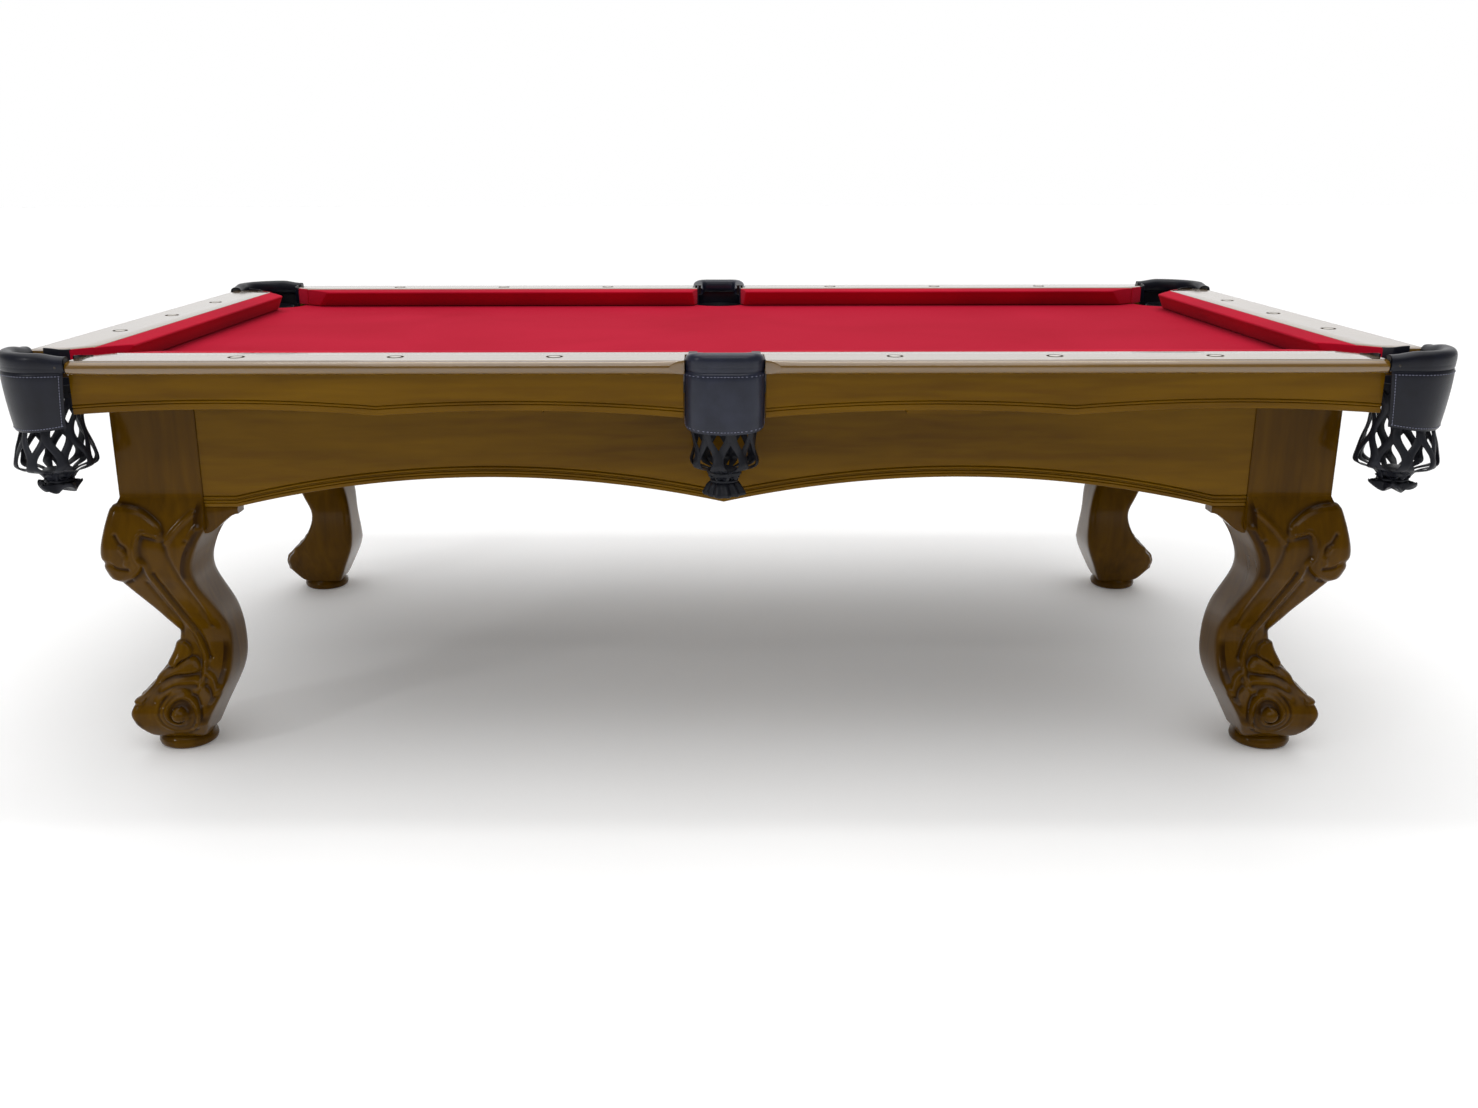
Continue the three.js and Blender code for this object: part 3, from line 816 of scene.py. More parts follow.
@dataclass(frozen=True)
class Ridge:
    """A carved line: a rounded ridge, or a groove where its rise is negative."""

    points: tuple
    width: float
    rise: float

    def relief(self, a: np.ndarray, h: np.ndarray) -> np.ndarray:
        """Rise times exp(-(distance to the line / width)^2).

        Args:
            a: places outward, in millimetres.
            h: heights, in millimetres.

        Returns:
            How far the surface stands out, in millimetres.
        """
        line = smooth_curve(list(self.points), 14 * len(self.points))
        gap = (a[..., None] - line[:, 0]) ** 2 + (h[..., None] - line[:, 1]) ** 2
        return self.rise * np.exp(-gap.min(axis=-1) / self.width**2)


@dataclass(frozen=True)
class Lobe:
    """A raised leaf or scroll: a flat rise inside a closed outline, with a rounded border."""

    points: tuple
    rise: float
    edge: float = 7.0
    border: float = 1.6

    def relief(self, a: np.ndarray, h: np.ndarray) -> np.ndarray:
        """Rise times a smooth step of the signed distance to the outline, and a bead along it.

        Args:
            a: places outward, in millimetres.
            h: heights, in millimetres.

        Returns:
            How far the surface stands out, in millimetres.
        """
        line = smooth_curve(list(self.points), 12 * len(self.points), closed=True)
        ahead = np.roll(line, -1, axis=0)
        gap = np.sqrt(((a[..., None] - line[:, 0]) ** 2 + (h[..., None] - line[:, 1]) ** 2).min(axis=-1))
        crosses = (line[:, 1] > h[..., None]) != (ahead[:, 1] > h[..., None])
        climb = np.where(ahead[:, 1] == line[:, 1], 1e-9, ahead[:, 1] - line[:, 1])
        meets = line[:, 0] + (h[..., None] - line[:, 1]) * (ahead[:, 0] - line[:, 0]) / climb
        inside = (crosses & (a[..., None] < meets)).sum(axis=-1) % 2 == 1
        depth = np.where(inside, gap, -gap)
        bead = self.border * np.exp(-((depth - 3.0) / 2.6) ** 2)
        return self.rise * smoothstep(-0.35 * self.edge, self.edge, depth) + bead


@dataclass(frozen=True)
class Carving:
    """The carving of a leg's outer faces, in (a, h) millimetres."""

    lobes: tuple = (
        Lobe(((36, 520), (0, 506), (-25, 502), (-49, 493), (-67, 480), (-79, 468), (-82, 454), (-75, 446),
              (-58, 449), (-45, 452), (-35, 432), (-35, 408), (-42, 392), (-28, 372), (4, 352), (38, 340)),
             7.0, 11.0),
        Lobe(((-3, 105), (-11, 123), (-31, 139), (-55, 150), (-80, 152), (-100, 156), (-105, 163),
              (-100, 173), (-90, 180), (-72, 176), (-50, 161), (-20, 146), (12, 128), (22, 108)), 7.0, 10.0),
        Lobe(((-59, 221), (-66, 212), (-78, 204), (-84, 191), (-80, 181), (-64, 173), (-50, 163),
              (-40, 170), (-46, 196)), 5.5, 8.0),
    )
    ridges: tuple = (
        Ridge(((-75, 446), (-45, 452), (-35, 432), (-35, 408), (-46, 390), (-50, 370), (-63, 323),
               (-81, 259), (-100, 212), (-112, 183), (-113, 158)), 5.0, 4.2),
        Ridge(((-57, 372), (-71, 322), (-90, 258), (-108, 212), (-121, 180)), 4.5, -2.6),
        Ridge(((-40, 352), (-56, 300), (-72, 250), (-66, 225)), 5.0, -2.2),
        Ridge(((-140, 489), (-112, 464), (-88, 435)), 5.0, 2.6),
        Ridge(((-159, 476), (-142, 455), (-127, 431)), 5.0, 2.6),
        Ridge(((-84, 435), (-90, 406), (-101, 371), (-110, 336), (-120, 294), (-129, 245)), 5.5, -2.6),
        Ridge(((-127, 435), (-126, 406), (-127, 371), (-130, 327), (-141, 288), (-153, 245)), 5.5, -2.4),
        Ridge(((4, 450), (-4, 436), (-14, 426), (-16, 412)), 4.0, -2.6),
        Ridge(((-7, 426), (-16, 410), (-13, 396)), 4.0, 2.4),
        Ridge(((24, 404), (6, 388), (-14, 384)), 4.0, -2.8),
        Ridge(((26, 366), (8, 356), (-12, 358)), 4.0, -2.4),
        Ridge(((-32, 113), (-49, 122), (-74, 126), (-96, 123), (-109, 132), (-100, 141), (-78, 141),
               (-56, 138), (-36, 129)), 5.5, 3.6),
        Ridge(((-111, 140), (-116, 152), (-129, 146), (-137, 135), (-145, 118), (-144, 102), (-136, 83),
               (-121, 69), (-107, 59)), 5.0, 3.6),
        Ridge(((-132, 91), (-137, 108), (-131, 123), (-121, 132)), 4.0, -2.6),
    )
    eye: tuple = (-76, 86)
    eye_radius: float = 13.5
    volute_outer: float = 47.0
    volute_turns: float = 1.45
    boss_rise: float = 5.5
    eye_rise: float = 6.5
    groove_depth: float = 5.2
    groove_width: float = 0.17
    depth: float = 1.3

    def volute(self, a: np.ndarray, h: np.ndarray) -> np.ndarray:
        """A spiral: a boss with a groove along r = outer - pitch times the turns, and a round eye.

        Args:
            a: places outward, in millimetres.
            h: heights, in millimetres.

        Returns:
            How far the surface stands out, in millimetres.
        """
        across, up = a - self.eye[0], h - self.eye[1]
        radius = np.hypot(across, up)
        turns = (np.arctan2(up, across) / (2 * np.pi)) % 1.0
        pitch = (self.volute_outer - self.eye_radius) / self.volute_turns
        phase = ((radius - self.eye_radius) / pitch - turns) % 1.0
        band = np.exp(-((phase - 0.5) / self.groove_width) ** 2)
        boss = self.boss_rise * (1 - smoothstep(self.volute_outer - 12, self.volute_outer + 2, radius))
        eye = self.eye_rise * np.sqrt(np.clip(1 - (radius / self.eye_radius) ** 2, 0, 1))
        fade = 1 - smoothstep(self.volute_outer - 6, self.volute_outer + 1, radius)
        clear = smoothstep(self.eye_radius - 1, self.eye_radius + 2, radius)
        groove = -self.groove_depth * (1 - band) * fade * clear
        return boss + eye + groove

    def relief(self, a: np.ndarray, h: np.ndarray) -> np.ndarray:
        """The lobes, ridges and volute together.

        Args:
            a: places outward, in millimetres.
            h: heights, in millimetres.

        Returns:
            How far the surface stands out, in millimetres.
        """
        total = self.volute(a, h)
        for mark in (*self.lobes, *self.ridges):
            total = total + mark.relief(a, h)
        return self.depth * total


@dataclass
class Legs:
    """Four cabriole legs, carved on their two outward faces, on turned pads."""

    knee: float = 517.0
    top: float = FIELD.cabinet_top / MM
    post: float = FIELD.post_size / MM
    outer: tuple = ((16, 0.925), (29, 0.807), (22, 0.72), (3, 0.652), (-38, 0.518), (-58, 0.424),
                    (-37, 0.313), (17, 0.193), (19, 0.128), (0, 0.068), (-17, 0.048))
    inner: tuple = ((51, 0.039), (33, 0.12), (3, 0.255), (-3, 0.372), (5, 0.507), (33, 0.677),
                    (26, 0.785), (0, 0.88))
    face_columns: int = 76
    carved_rows: int = 300
    pad_setback: float = 58.0
    wing_length: float = 62.0
    wing_top: float = 496.7
    wing_faces: tuple = (-38.3, -4.3)
    pad: tuple = ((0, 0), (48, 0), (50, 0.6), (55, 4), (57, 10), (56, 17), (50, 24), (47, 27), (48, 30),
                  (46, 36), (46, 60), (0, 60))
    post_round: float = 4.0
    leg_round: float = 8.0
    # How deep a recess must be, in millimetres, for its full painted shade.
    recess: float = 2.2
    carving: Carving = field(default_factory=Carving)

    def edges(self, h: np.ndarray) -> tuple:
        """Where the sawn outer and inner edges stand at each height.

        Args:
            h: heights, in millimetres.

        Returns:
            The outer and the inner edge, both as a.
        """
        outer = smooth_curve([(0, self.knee)] + [(a, f * self.knee) for a, f in self.outer], 400)
        inner = smooth_curve([(a - self.post, f * self.knee) for a, f in self.inner], 300)
        out = np.interp(h, outer[::-1, 1], outer[::-1, 0])
        back = np.interp(h, inner[:, 1], inner[:, 0])
        return np.where(h > self.knee, 0.0, out), back

    def section(self) -> tuple:
        """The columns round a rounded square: shares of its width, outward directions and carving column.

        Returns:
            The shares (x and y), the directions (x and y), the carving column and its strength.
        """
        run = np.linspace(0, 1, self.face_columns)
        few = np.linspace(0, 1, 12)[1:-1]
        bend = np.linspace(0, np.pi / 2, 9)[1:-1]
        last = self.face_columns - 1
        none = np.zeros_like(bend)

        def flat(x: np.ndarray | float, y: np.ndarray | float, direction: tuple,
                 column: np.ndarray | int, strength: float) -> np.ndarray:
            """The columns of one flat face."""
            size = max(np.size(x), np.size(y))
            rows = (x, y, direction[0], direction[1], column, strength)
            return np.array([np.broadcast_to(v, size) for v in rows], dtype=float)

        def corner(x: float, y: float, turn: float, column: int, strength: np.ndarray) -> np.ndarray:
            """The columns of one rounded corner."""
            angle = bend + turn
            return np.array([none + x, none + y, np.cos(angle), np.sin(angle), none + column, strength])

        index = np.arange(self.face_columns)
        fading = 1 - np.linspace(0, 1, len(bend))
        parts = [
            flat(1.0, run, (1, 0), index, 1.0),
            corner(1, 1, 0.0, last, none + 1),
            flat(run[::-1], 1.0, (0, 1), index[::-1], 1.0),
            corner(0, 1, math.pi / 2, 0, fading),
            flat(0.0, few[::-1], (-1, 0), 0, 0.0),
            corner(0, 0, math.pi, 0, none),
            flat(few, 0.0, (0, -1), 0, 0.0),
            corner(1, 0, 1.5 * math.pi, 0, fading[::-1]),
        ]
        return tuple(np.concatenate(parts, axis=1))

    def body(self) -> tuple:
        """The leg's surface as a grid: a rounded square at each height, moved outward by the carving.

        Returns:
            The grid of (outward x, outward y, height) in millimetres, and how much painted shade each point
            gets in recesses.
        """
        sole = self.outer[-1][1] * self.knee
        h = np.concatenate([
            np.linspace(sole, self.knee - 1, self.carved_rows), np.linspace(self.knee, self.top, 14)])
        out, back = self.edges(h)
        radius = self.post_round + self.leg_round * smoothstep(self.knee + 4, self.knee - 40, h)
        share_x, share_y, turn_x, turn_y, column, strength = self.section()
        run = np.linspace(0, 1, self.face_columns)
        low, width = back + radius, out - back - 2 * radius
        a = low[:, None] + width[:, None] * run
        relief = self.carving.relief(a, np.repeat(h[:, None], len(run), axis=1))
        below_post = smoothstep(self.knee + 8, self.knee - 6, h)[:, None]
        relief *= below_post * smoothstep(sole, sole + 14, h)[:, None]
        relief *= smoothstep(-1, 14, a - back[:, None])
        # Painted shade: points that lie below their neighbours' mean relief are marked to be darkened.
        around = sum(np.roll(relief, (i, j), (0, 1)) for i in (-4, 0, 4) for j in (-3, 0, 3)) / 9
        recess_shade = np.clip((around - relief) / self.recess, 0, 1)
        pick = column.astype(int)
        stand = relief[:, pick] * strength
        x = low[:, None] + width[:, None] * share_x + (radius[:, None] + stand) * turn_x
        y = low[:, None] + width[:, None] * share_y + (radius[:, None] + stand) * turn_y
        grid = np.stack([x, y, np.repeat(h[:, None], len(column), axis=1)], axis=-1)
        return grid, recess_shade[:, pick] * strength

    def wing(self) -> tuple:
        """The bracket under an apron's end: its underside falls along a smooth curve to the leg.

        Returns:
            Places inward along the apron, and the heights of its underside there.
        """
        run = np.linspace(-self.post - self.wing_length, -self.post / 2, 24)
        fall = smoothstep(-self.post - self.wing_length, -self.post + 4, run)
        return run, self.wing_top - 13 - 39 * fall

    def build(self, finishes: Finishes) -> None:
        """Makes the four legs.

        Args:
            finishes: the table's materials.
        """
        grid, recess_shade = self.body()
        run, under = self.wing()
        pad = np.array(self.pad, dtype=float)
        origin = np.array([FIELD.post_x, FIELD.post_y, 0.0])
        for name in CORNERS:
            sign = np.array([*corner_signs(name), 1.0])
            shell = Shell()
            shell.grid(sign * (origin + grid * MM), Cap.FAN, recess_shade=recess_shade)
            shell.lathe(pad[:, 0] * MM, pad[:, 1] * MM,
                        tuple(sign[:2] * (origin[:2] - self.pad_setback * MM)))
            for swap in (False, True):
                self.add_wing(shell, run, under, origin, sign, swap)
            piece = shell.build(f"leg_{name}_carved", [finishes.leg], 50.0)
            settle(piece, "walnut_lacquer", f"leg_{name}")

    def add_wing(self, shell: Shell, run: np.ndarray, under: np.ndarray, origin: np.ndarray,
                 sign: np.ndarray, swap: bool) -> None:
        """Adds one bracket as a slab whose underside follows the curve.

        Args:
            shell: the leg's surfaces.
            run: places inward along the apron.
            under: the heights of its underside there.
            origin: the post's outer corner.
            sign: the leg's side on each axis.
            swap: whether the bracket runs along Y.
        """
        def place(s: np.ndarray, u: np.ndarray, z: np.ndarray) -> np.ndarray:
            """Turns places along, across and up into positions."""
            s, u, z = np.broadcast_arrays(s, u, z)
            flat = (s, u) if swap else (u, s)
            return sign * (origin + np.stack([*flat, z], axis=-1) * MM)

        top = np.full(len(run), self.wing_top)
        ends = tuple(np.full(len(run), face) for face in self.wing_faces)
        shell.loft(run, top, under, ends, place, rows=4, ease=1.6)


# ---------------------------------------------------------------- cabinet and skirts


@dataclass(frozen=True)
class Moulding:
    """The outline of a board's section, from its lower edge: (depth behind the face, rise above the edge)."""

    beads: tuple
    bead_radius: float
    thickness: float
    ease: float = 2.0 * MM

    def outline(self) -> np.ndarray:
        """The section's points from low on the face up to its plain part.

        Returns:
            Depths behind the face and rises above the edge, one row each.
        """
        r = self.bead_radius
        points = [(self.ease, 0.0), (0.3 * self.ease, 0.3 * self.ease), (0.0, self.ease)]
        swell = np.linspace(-np.pi / 2, np.pi / 2, 7)
        quirk_out, quirk_in = 1.9 * r, 1.1 * r
        for rise in self.beads:
            points += [(0.0, rise - quirk_out), (r, rise - quirk_in)]
            points += list(zip(0.3 * r - r * np.cos(swell), rise + r * np.sin(swell)))
            points += [(r, rise + quirk_in), (0.0, rise + quirk_out)]
        return np.array(points)

    def add(self, shell: Shell, s: np.ndarray, edge: np.ndarray, top: float, face: float,
            place: Callable) -> None:
        """Carries the section along s, its lower part following the edge and its upper part level.

        Args:
            shell: the surfaces to add to.
            s: places along the board.
            edge: the height of its lower edge at each.
            top: the height of its top.
            face: u at its face.
            place: turns s, u and z into positions.
        """
        lower = self.outline()
        back = np.array([(self.thickness, 0.0), (self.thickness - self.ease, 0.0)])
        climb = np.linspace(0.25, 0.9, 4)
        front_z = edge[:, None] + lower[:, 1]
        last = front_z[:, -1:]
        plain_z = last + (top - last) * climb
        back_z = np.stack([np.full_like(edge, top), np.full_like(edge, top - self.ease), edge + self.ease], 1)
        z = np.concatenate([front_z, plain_z, np.full((len(s), 1), top), back_z,
                            edge[:, None] + back[1:, 1]], axis=1)
        depth = np.concatenate([lower[:, 0], np.zeros(len(climb)), [0.0],
                                [self.thickness - self.ease, self.thickness, self.thickness], back[1:, 0]])
        shell.grid(place(s[:, None], face - depth[None, :], z), Cap.FAN)


@dataclass
class Cabinet:
    """The four aprons between the posts and the cleats behind the long skirts."""

    moulding: Moulding = Moulding((10.5 * MM, 18.0 * MM), 2.3 * MM, 25.0 * MM)
    wing: float = 62.0 * MM
    bottom: float = 497.0 * MM
    rise: float = 56.5 * MM
    point: float = 9.0 * MM
    setback: float = 4.0 * MM
    gap: float = 0.3 * MM

    def edge(self, s: np.ndarray, half: float, two_arches: bool) -> np.ndarray:
        """The height of an apron's lower edge: flat over each wing, one arch or two between.

        Args:
            s: places along it.
            half: half its length.
            two_arches: whether a point divides the arch.

        Returns:
            The heights.
        """
        spring = half - self.wing
        crown = self.bottom + self.rise
        if two_arches:
            middle = (0.0, self.bottom + self.point)
            curve = arch(np.abs(s), middle, crown, (spring, self.bottom))
        else:
            curve = arch(s, (-spring, self.bottom), crown, (spring, self.bottom))
        return np.where(np.abs(s) < spring, curve, self.bottom)

    def build(self, finishes: Finishes) -> None:
        """Makes the aprons and cleats.

        Args:
            finishes: the table's materials.
        """
        for side in Side:
            name = side.name.lower()
            long = side in (Side.FRONT, Side.BACK)
            half = (FIELD.post_x if long else FIELD.post_y) - FIELD.post_size - self.gap
            face = (FIELD.post_y if long else FIELD.post_x) - self.setback
            marks = [-half, -half + self.wing, 0.0, half - self.wing, half]
            s = np.union1d(np.linspace(-half, half, 181), marks)

            def place(along: np.ndarray, out: np.ndarray, z: np.ndarray, side: Side = side) -> np.ndarray:
                """Turns places along, outward and up into positions on this side."""
                along, out, z = np.broadcast_arrays(along, out, z)
                return quarter_turned(np.stack([along, -out, z], axis=-1), side.value)

            shell = Shell()
            self.moulding.add(shell, s, self.edge(s, half, long), FIELD.cabinet_top, face, place)
            grain = Grain.LENGTHWAYS if long else Grain.CROSSWAYS
            piece = shell.build(f"apron_{name}_moulded", [finishes.wood[grain]])
            settle(piece, "walnut_lacquer", f"apron_{name}")
        for name in CORNERS:
            low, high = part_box(f"cleat_{name}")
            y = np.linspace(low[1], high[1], 3)
            shell = Shell()
            ends = (np.full(3, low[0]), np.full(3, high[0]))
            shell.loft(y, np.full(3, high[2]), np.full(3, low[2]), ends,
                       lambda s, u, z: np.stack(np.broadcast_arrays(s, u, z), axis=-1), rows=3, ease=1.5 * MM)
            piece = shell.build(f"cleat_{name}_eased", [finishes.wood[Grain.LENGTHWAYS]])
            settle(piece, "walnut_lacquer", f"cleat_{name}")


def upright_strip(stretch: Stretch, plan: tuple, outward: tuple, high: np.ndarray) -> np.ndarray:
    """A covering 2.6 mm thick that stands on the bed 0.3 mm off a bent line, rounded over at its top.

    Args:
        stretch: whose s and u the plan is in.
        plan: the bent line's points.
        outward: the way that it faces at each point.
        high: its top along the line.

    Returns:
        The grid of its section carried along the line.
    """
    share, run = np.linspace(0, 1, len(high)), np.linspace(0, 1, len(plan))
    s, u = (np.interp(share, run, [point[part] for point in plan]) for part in (0, 1))
    ns, nu = (np.interp(share, run, [way[part] for way in outward]) for part in (0, 1))
    off = np.array([0.3, 0.3, 0.8, 1.7, 2.5, 2.9, 2.9, 2.4, 0.8]) * MM
    fall = np.array([0.0, 0.0, 0.0, 0.0, 0.6, 1.6, 0.0, 0.0, 0.0]) * MM
    lift = np.array([0, 1, 1, 1, 1, 1, 0, 0, 0], dtype=float)
    rest = np.array([1.0, 0.0, 0.0, 0.0, 0.0, 0.0, 1.5, 0.0, 0.0]) * MM
    low = FIELD.bed_top + 2 * MM
    z = low + rest + lift * (high[:, None] - low - fall)
    return stretch.place(s[:, None] + ns[:, None] * off, u[:, None] + nu[:, None] * off, z)


@dataclass
class Rails:
    """The six stretches of rail, cushion and skirt."""

    lip_radius: float = 12.0 * MM
    lip_depth: float = 20.0 * MM
    subrail: float = 126.7 * MM
    skirt_face: float = 146.0 * MM
    skirt: Moulding = Moulding((14.0 * MM,), 2.0 * MM, 19.0 * MM)
    nose_radius: float = 3.0 * MM
    nose_height: float = 36.0 * MM
    side_mouth: float = 140.0 * MM
    side_facing: float = math.radians(14)
    corner_mouth: float = 127.0 * MM
    corner_facing: float = math.radians(38)
    side_end: float = 69.8 * MM
    facing_run: float = 31.0 * MM
    side_arm: float = 80.7 * MM
    side_cut: tuple = (12.0 * MM, 26.0 * MM)
    sight_setback: float = 60.0 * MM
    long_sights: tuple = (298.5 * MM, 578.0 * MM, 858.0 * MM)
    end_sights: tuple = (-279.0 * MM, 0.0, 279.0 * MM)
    top_places: tuple = (50.0, 50.6, 52.0, 80.6, 80.8, 94.0, 110.0, 126.6, 126.8, 146.0, 146.2, 150.4,
                         151.0, 152.2)
    top_drops: tuple = (2.0, 0.6, 0, 0, 0, 0, 0, 0, 0, 0, 0, 0, 1.3, 1.4)
    sight_profile: tuple = ((0, 0.25), (10.2, 0.25), (10.6, 0.05), (11.0, 0.35), (14.4, 0.35),
                            (15.0, 0.05), (15.0, -1.0), (0, -1.0))
    undercut: tuple = (2.0 * MM, 22.0 * MM)
    skirt_start: float = 72.0 * MM
    skirt_reach: float = 2.5 * MM
    skirt_dip: float = 530.0 * MM
    skirt_drops: tuple = (75.0, 66.0, 77.5, 69.0, 82.0)

    @property
    def side_back(self) -> float:
        """Where a side jaw passes the cushion's back, along s."""
        return self.side_mouth / 2 - FIELD.cushion_depth * math.tan(self.side_facing)

    def jaw(self, stretch: Stretch) -> tuple:
        """Where a corner jaw passes the nose's tip, the cushion's back and the rail's end, along s.

        Args:
            stretch: the stretch that it ends.

        Returns:
            The three places.
        """
        tip = stretch.half_nose - self.corner_mouth / math.sqrt(2)
        back = tip + FIELD.cushion_depth / math.tan(self.corner_facing)
        return tip, back, stretch.half_nose + FIELD.rail_outer - FIELD.corner_span

    def rail(self, stretch: Stretch, finishes: Finishes) -> None:
        """Makes one rail: a block with a quirk and a round edge, shaped at its ends, and its sights.

        Args:
            stretch: where it runs.
            finishes: the table's materials.
        """
        top, outer = FIELD.rail_top, FIELD.rail_outer
        start = outer - self.lip_radius
        bend = np.linspace(0, np.pi / 2, 12)
        u_round = start + self.lip_radius * np.sin(bend)
        z_round = self.lip_radius * np.cos(bend)
        middle = top - self.lip_radius
        u_flat = np.array(self.top_places) * MM
        z_flat = top - np.array(self.top_drops) * MM
        u = np.concatenate([u_flat, u_round])
        high = np.concatenate([z_flat, middle + z_round - 0.5 * MM * np.cos(bend)])
        low = np.where(u < self.skirt_face + 0.1 * MM, top - self.lip_depth, top - 2 * self.lip_radius)
        low = np.where(u < self.subrail, FIELD.bed_top + 0.3 * MM, low)
        low[-len(bend):] = middle - z_round
        _, back, end = self.jaw(stretch)
        bend_at = FIELD.cushion_depth + end - back
        far = np.interp(u, [FIELD.cushion_depth, bend_at, outer], [back, end, end])
        near = -far
        if stretch.meets_side_pocket:
            near = np.where(u < self.side_arm, self.side_back, self.side_end)
            near = near + np.interp(u, [outer - self.side_cut[0], outer], [0.0, self.side_cut[1]])
        shell = Shell()
        shell.loft(u, high, low, (near, far), stretch.place, rows=24, ease=1.2 * MM)
        for s in self.long_sights if stretch.meets_side_pocket else self.end_sights:
            spot = stretch.place(np.array(s), np.array(outer - self.sight_setback), np.array(top))
            profile = np.array(self.sight_profile) * MM
            shell.lathe(profile[:, 0], top + profile[:, 1], (spot[0], spot[1]), 48,
                        row_marks=[2, 1, 1, 1, 1, 1, 1])
        materials = [finishes.rail[stretch.grain], finishes.ring, finishes.inlay]
        piece = shell.build(f"rail_{stretch.name}_polished", materials)
        settle(piece, "rail_lacquer", f"rail_{stretch.name}")

    def cushion(self, stretch: Stretch, finishes: Finishes) -> None:
        """Makes one cushion: a sloping top, a round nose and an undercut face under tight cloth.

        At a corner the cloth goes on over the slanted end of the rail.

        Args:
            stretch: where it runs.
            finishes: the table's materials.
        """
        r = self.nose_radius
        centre = FIELD.bed_top + self.nose_height
        back = FIELD.cushion_depth - 0.3 * MM
        turn = np.linspace(0, np.pi / 2, 8)
        u_nose = r - r * np.cos(turn)
        u_slope = np.linspace(5 * MM, 21 * MM, 8)
        u = np.concatenate([u_nose, u_slope, [22 * MM, 24 * MM, 32 * MM, 42 * MM, back]])
        crown = 0.5 * MM * np.sin(np.pi * np.clip((u - r) / (back - r), 0, 1))
        rise = np.interp(u, [r, back], [centre + r, FIELD.rail_top - 0.9 * MM])
        high = np.where(u < r, centre + np.sqrt(np.clip(r**2 - (u - r) ** 2, 0, None)), rise + crown)
        base = FIELD.bed_top + 2 * MM
        low = np.where(u < self.undercut[0], centre - np.sqrt(np.clip(r**2 - (u - r) ** 2, 0, None)),
                       np.interp(u, self.undercut, [centre - r * 0.9, base]))
        tip, cheek, _ = self.jaw(stretch)
        far = np.interp(u, [0, FIELD.cushion_depth], [tip, cheek])
        near = -far
        if stretch.meets_side_pocket:
            near = np.interp(u, [0, FIELD.cushion_depth], [self.side_mouth / 2, self.side_back])
        shell = Shell()
        shell.loft(u, high, low, (near, far), stretch.place, rows=60, ease=2.0 * MM)
        strip_top = np.full(12, FIELD.rail_top + 0.2 * MM)
        for sign in ((1,) if stretch.meets_side_pocket else (1, -1)):
            plan = [(sign * (cheek + run), FIELD.cushion_depth + run) for run in (-0.3 * MM, self.facing_run)]
            slant = (sign * math.sqrt(0.5), -math.sqrt(0.5))
            shell.grid(upright_strip(stretch, plan, (slant, slant), strip_top), Cap.FAN)
        piece = shell.build(f"cushion_{stretch.name}_covered", [finishes.cushion])
        settle(piece, "red_cloth", f"cushion_{stretch.name}")

    def skirt_edge(self, s: np.ndarray, start: float, end: float, long: bool) -> np.ndarray:
        """The height of a skirt's lower edge: a cusp between two arches.

        Args:
            s: places along it.
            start: where a long skirt begins at the side pocket.
            end: where it ends at the corner.
            long: whether it is a long skirt, with arches of unlike length.

        Returns:
            The heights.
        """
        level = FIELD.rail_top - self.lip_depth
        corner, crown, cusp, inner, pocket = level - np.array(self.skirt_drops) * MM
        if not long:
            return arch(np.abs(s), (0.0, cusp), crown, (end, corner))
        dip = end - self.skirt_dip
        return np.where(s > dip, arch(s, (dip, cusp), crown, (end, corner)),
                        arch(s, (start, pocket), inner, (dip, cusp)))

    def skirt_board(self, stretch: Stretch, finishes: Finishes) -> None:
        """Makes one skirt, its bead following its lower edge.

        Args:
            stretch: where it runs.
            finishes: the table's materials.
        """
        end = self.jaw(stretch)[2] + self.skirt_reach
        long = stretch.meets_side_pocket
        start = self.skirt_start if long else -end
        s = np.union1d(np.linspace(start, end, 141), [end - self.skirt_dip if long else 0.0])
        top = FIELD.rail_top - self.lip_depth - 0.3 * MM
        shell = Shell()
        self.skirt.add(shell, s, self.skirt_edge(s, start, end, long), top, self.skirt_face, stretch.place)
        piece = shell.build(f"skirt_{stretch.name}_moulded", [finishes.wood[stretch.grain]])
        settle(piece, "walnut_lacquer", f"skirt_{stretch.name}")

    def build(self, finishes: Finishes) -> None:
        """Makes every stretch.

        Args:
            finishes: the table's materials.
        """
        for stretch in STRETCHES:
            self.rail(stretch, finishes)
            self.cushion(stretch, finishes)
            self.skirt_board(stretch, finishes)


# ---------------------------------------------------------------- bed


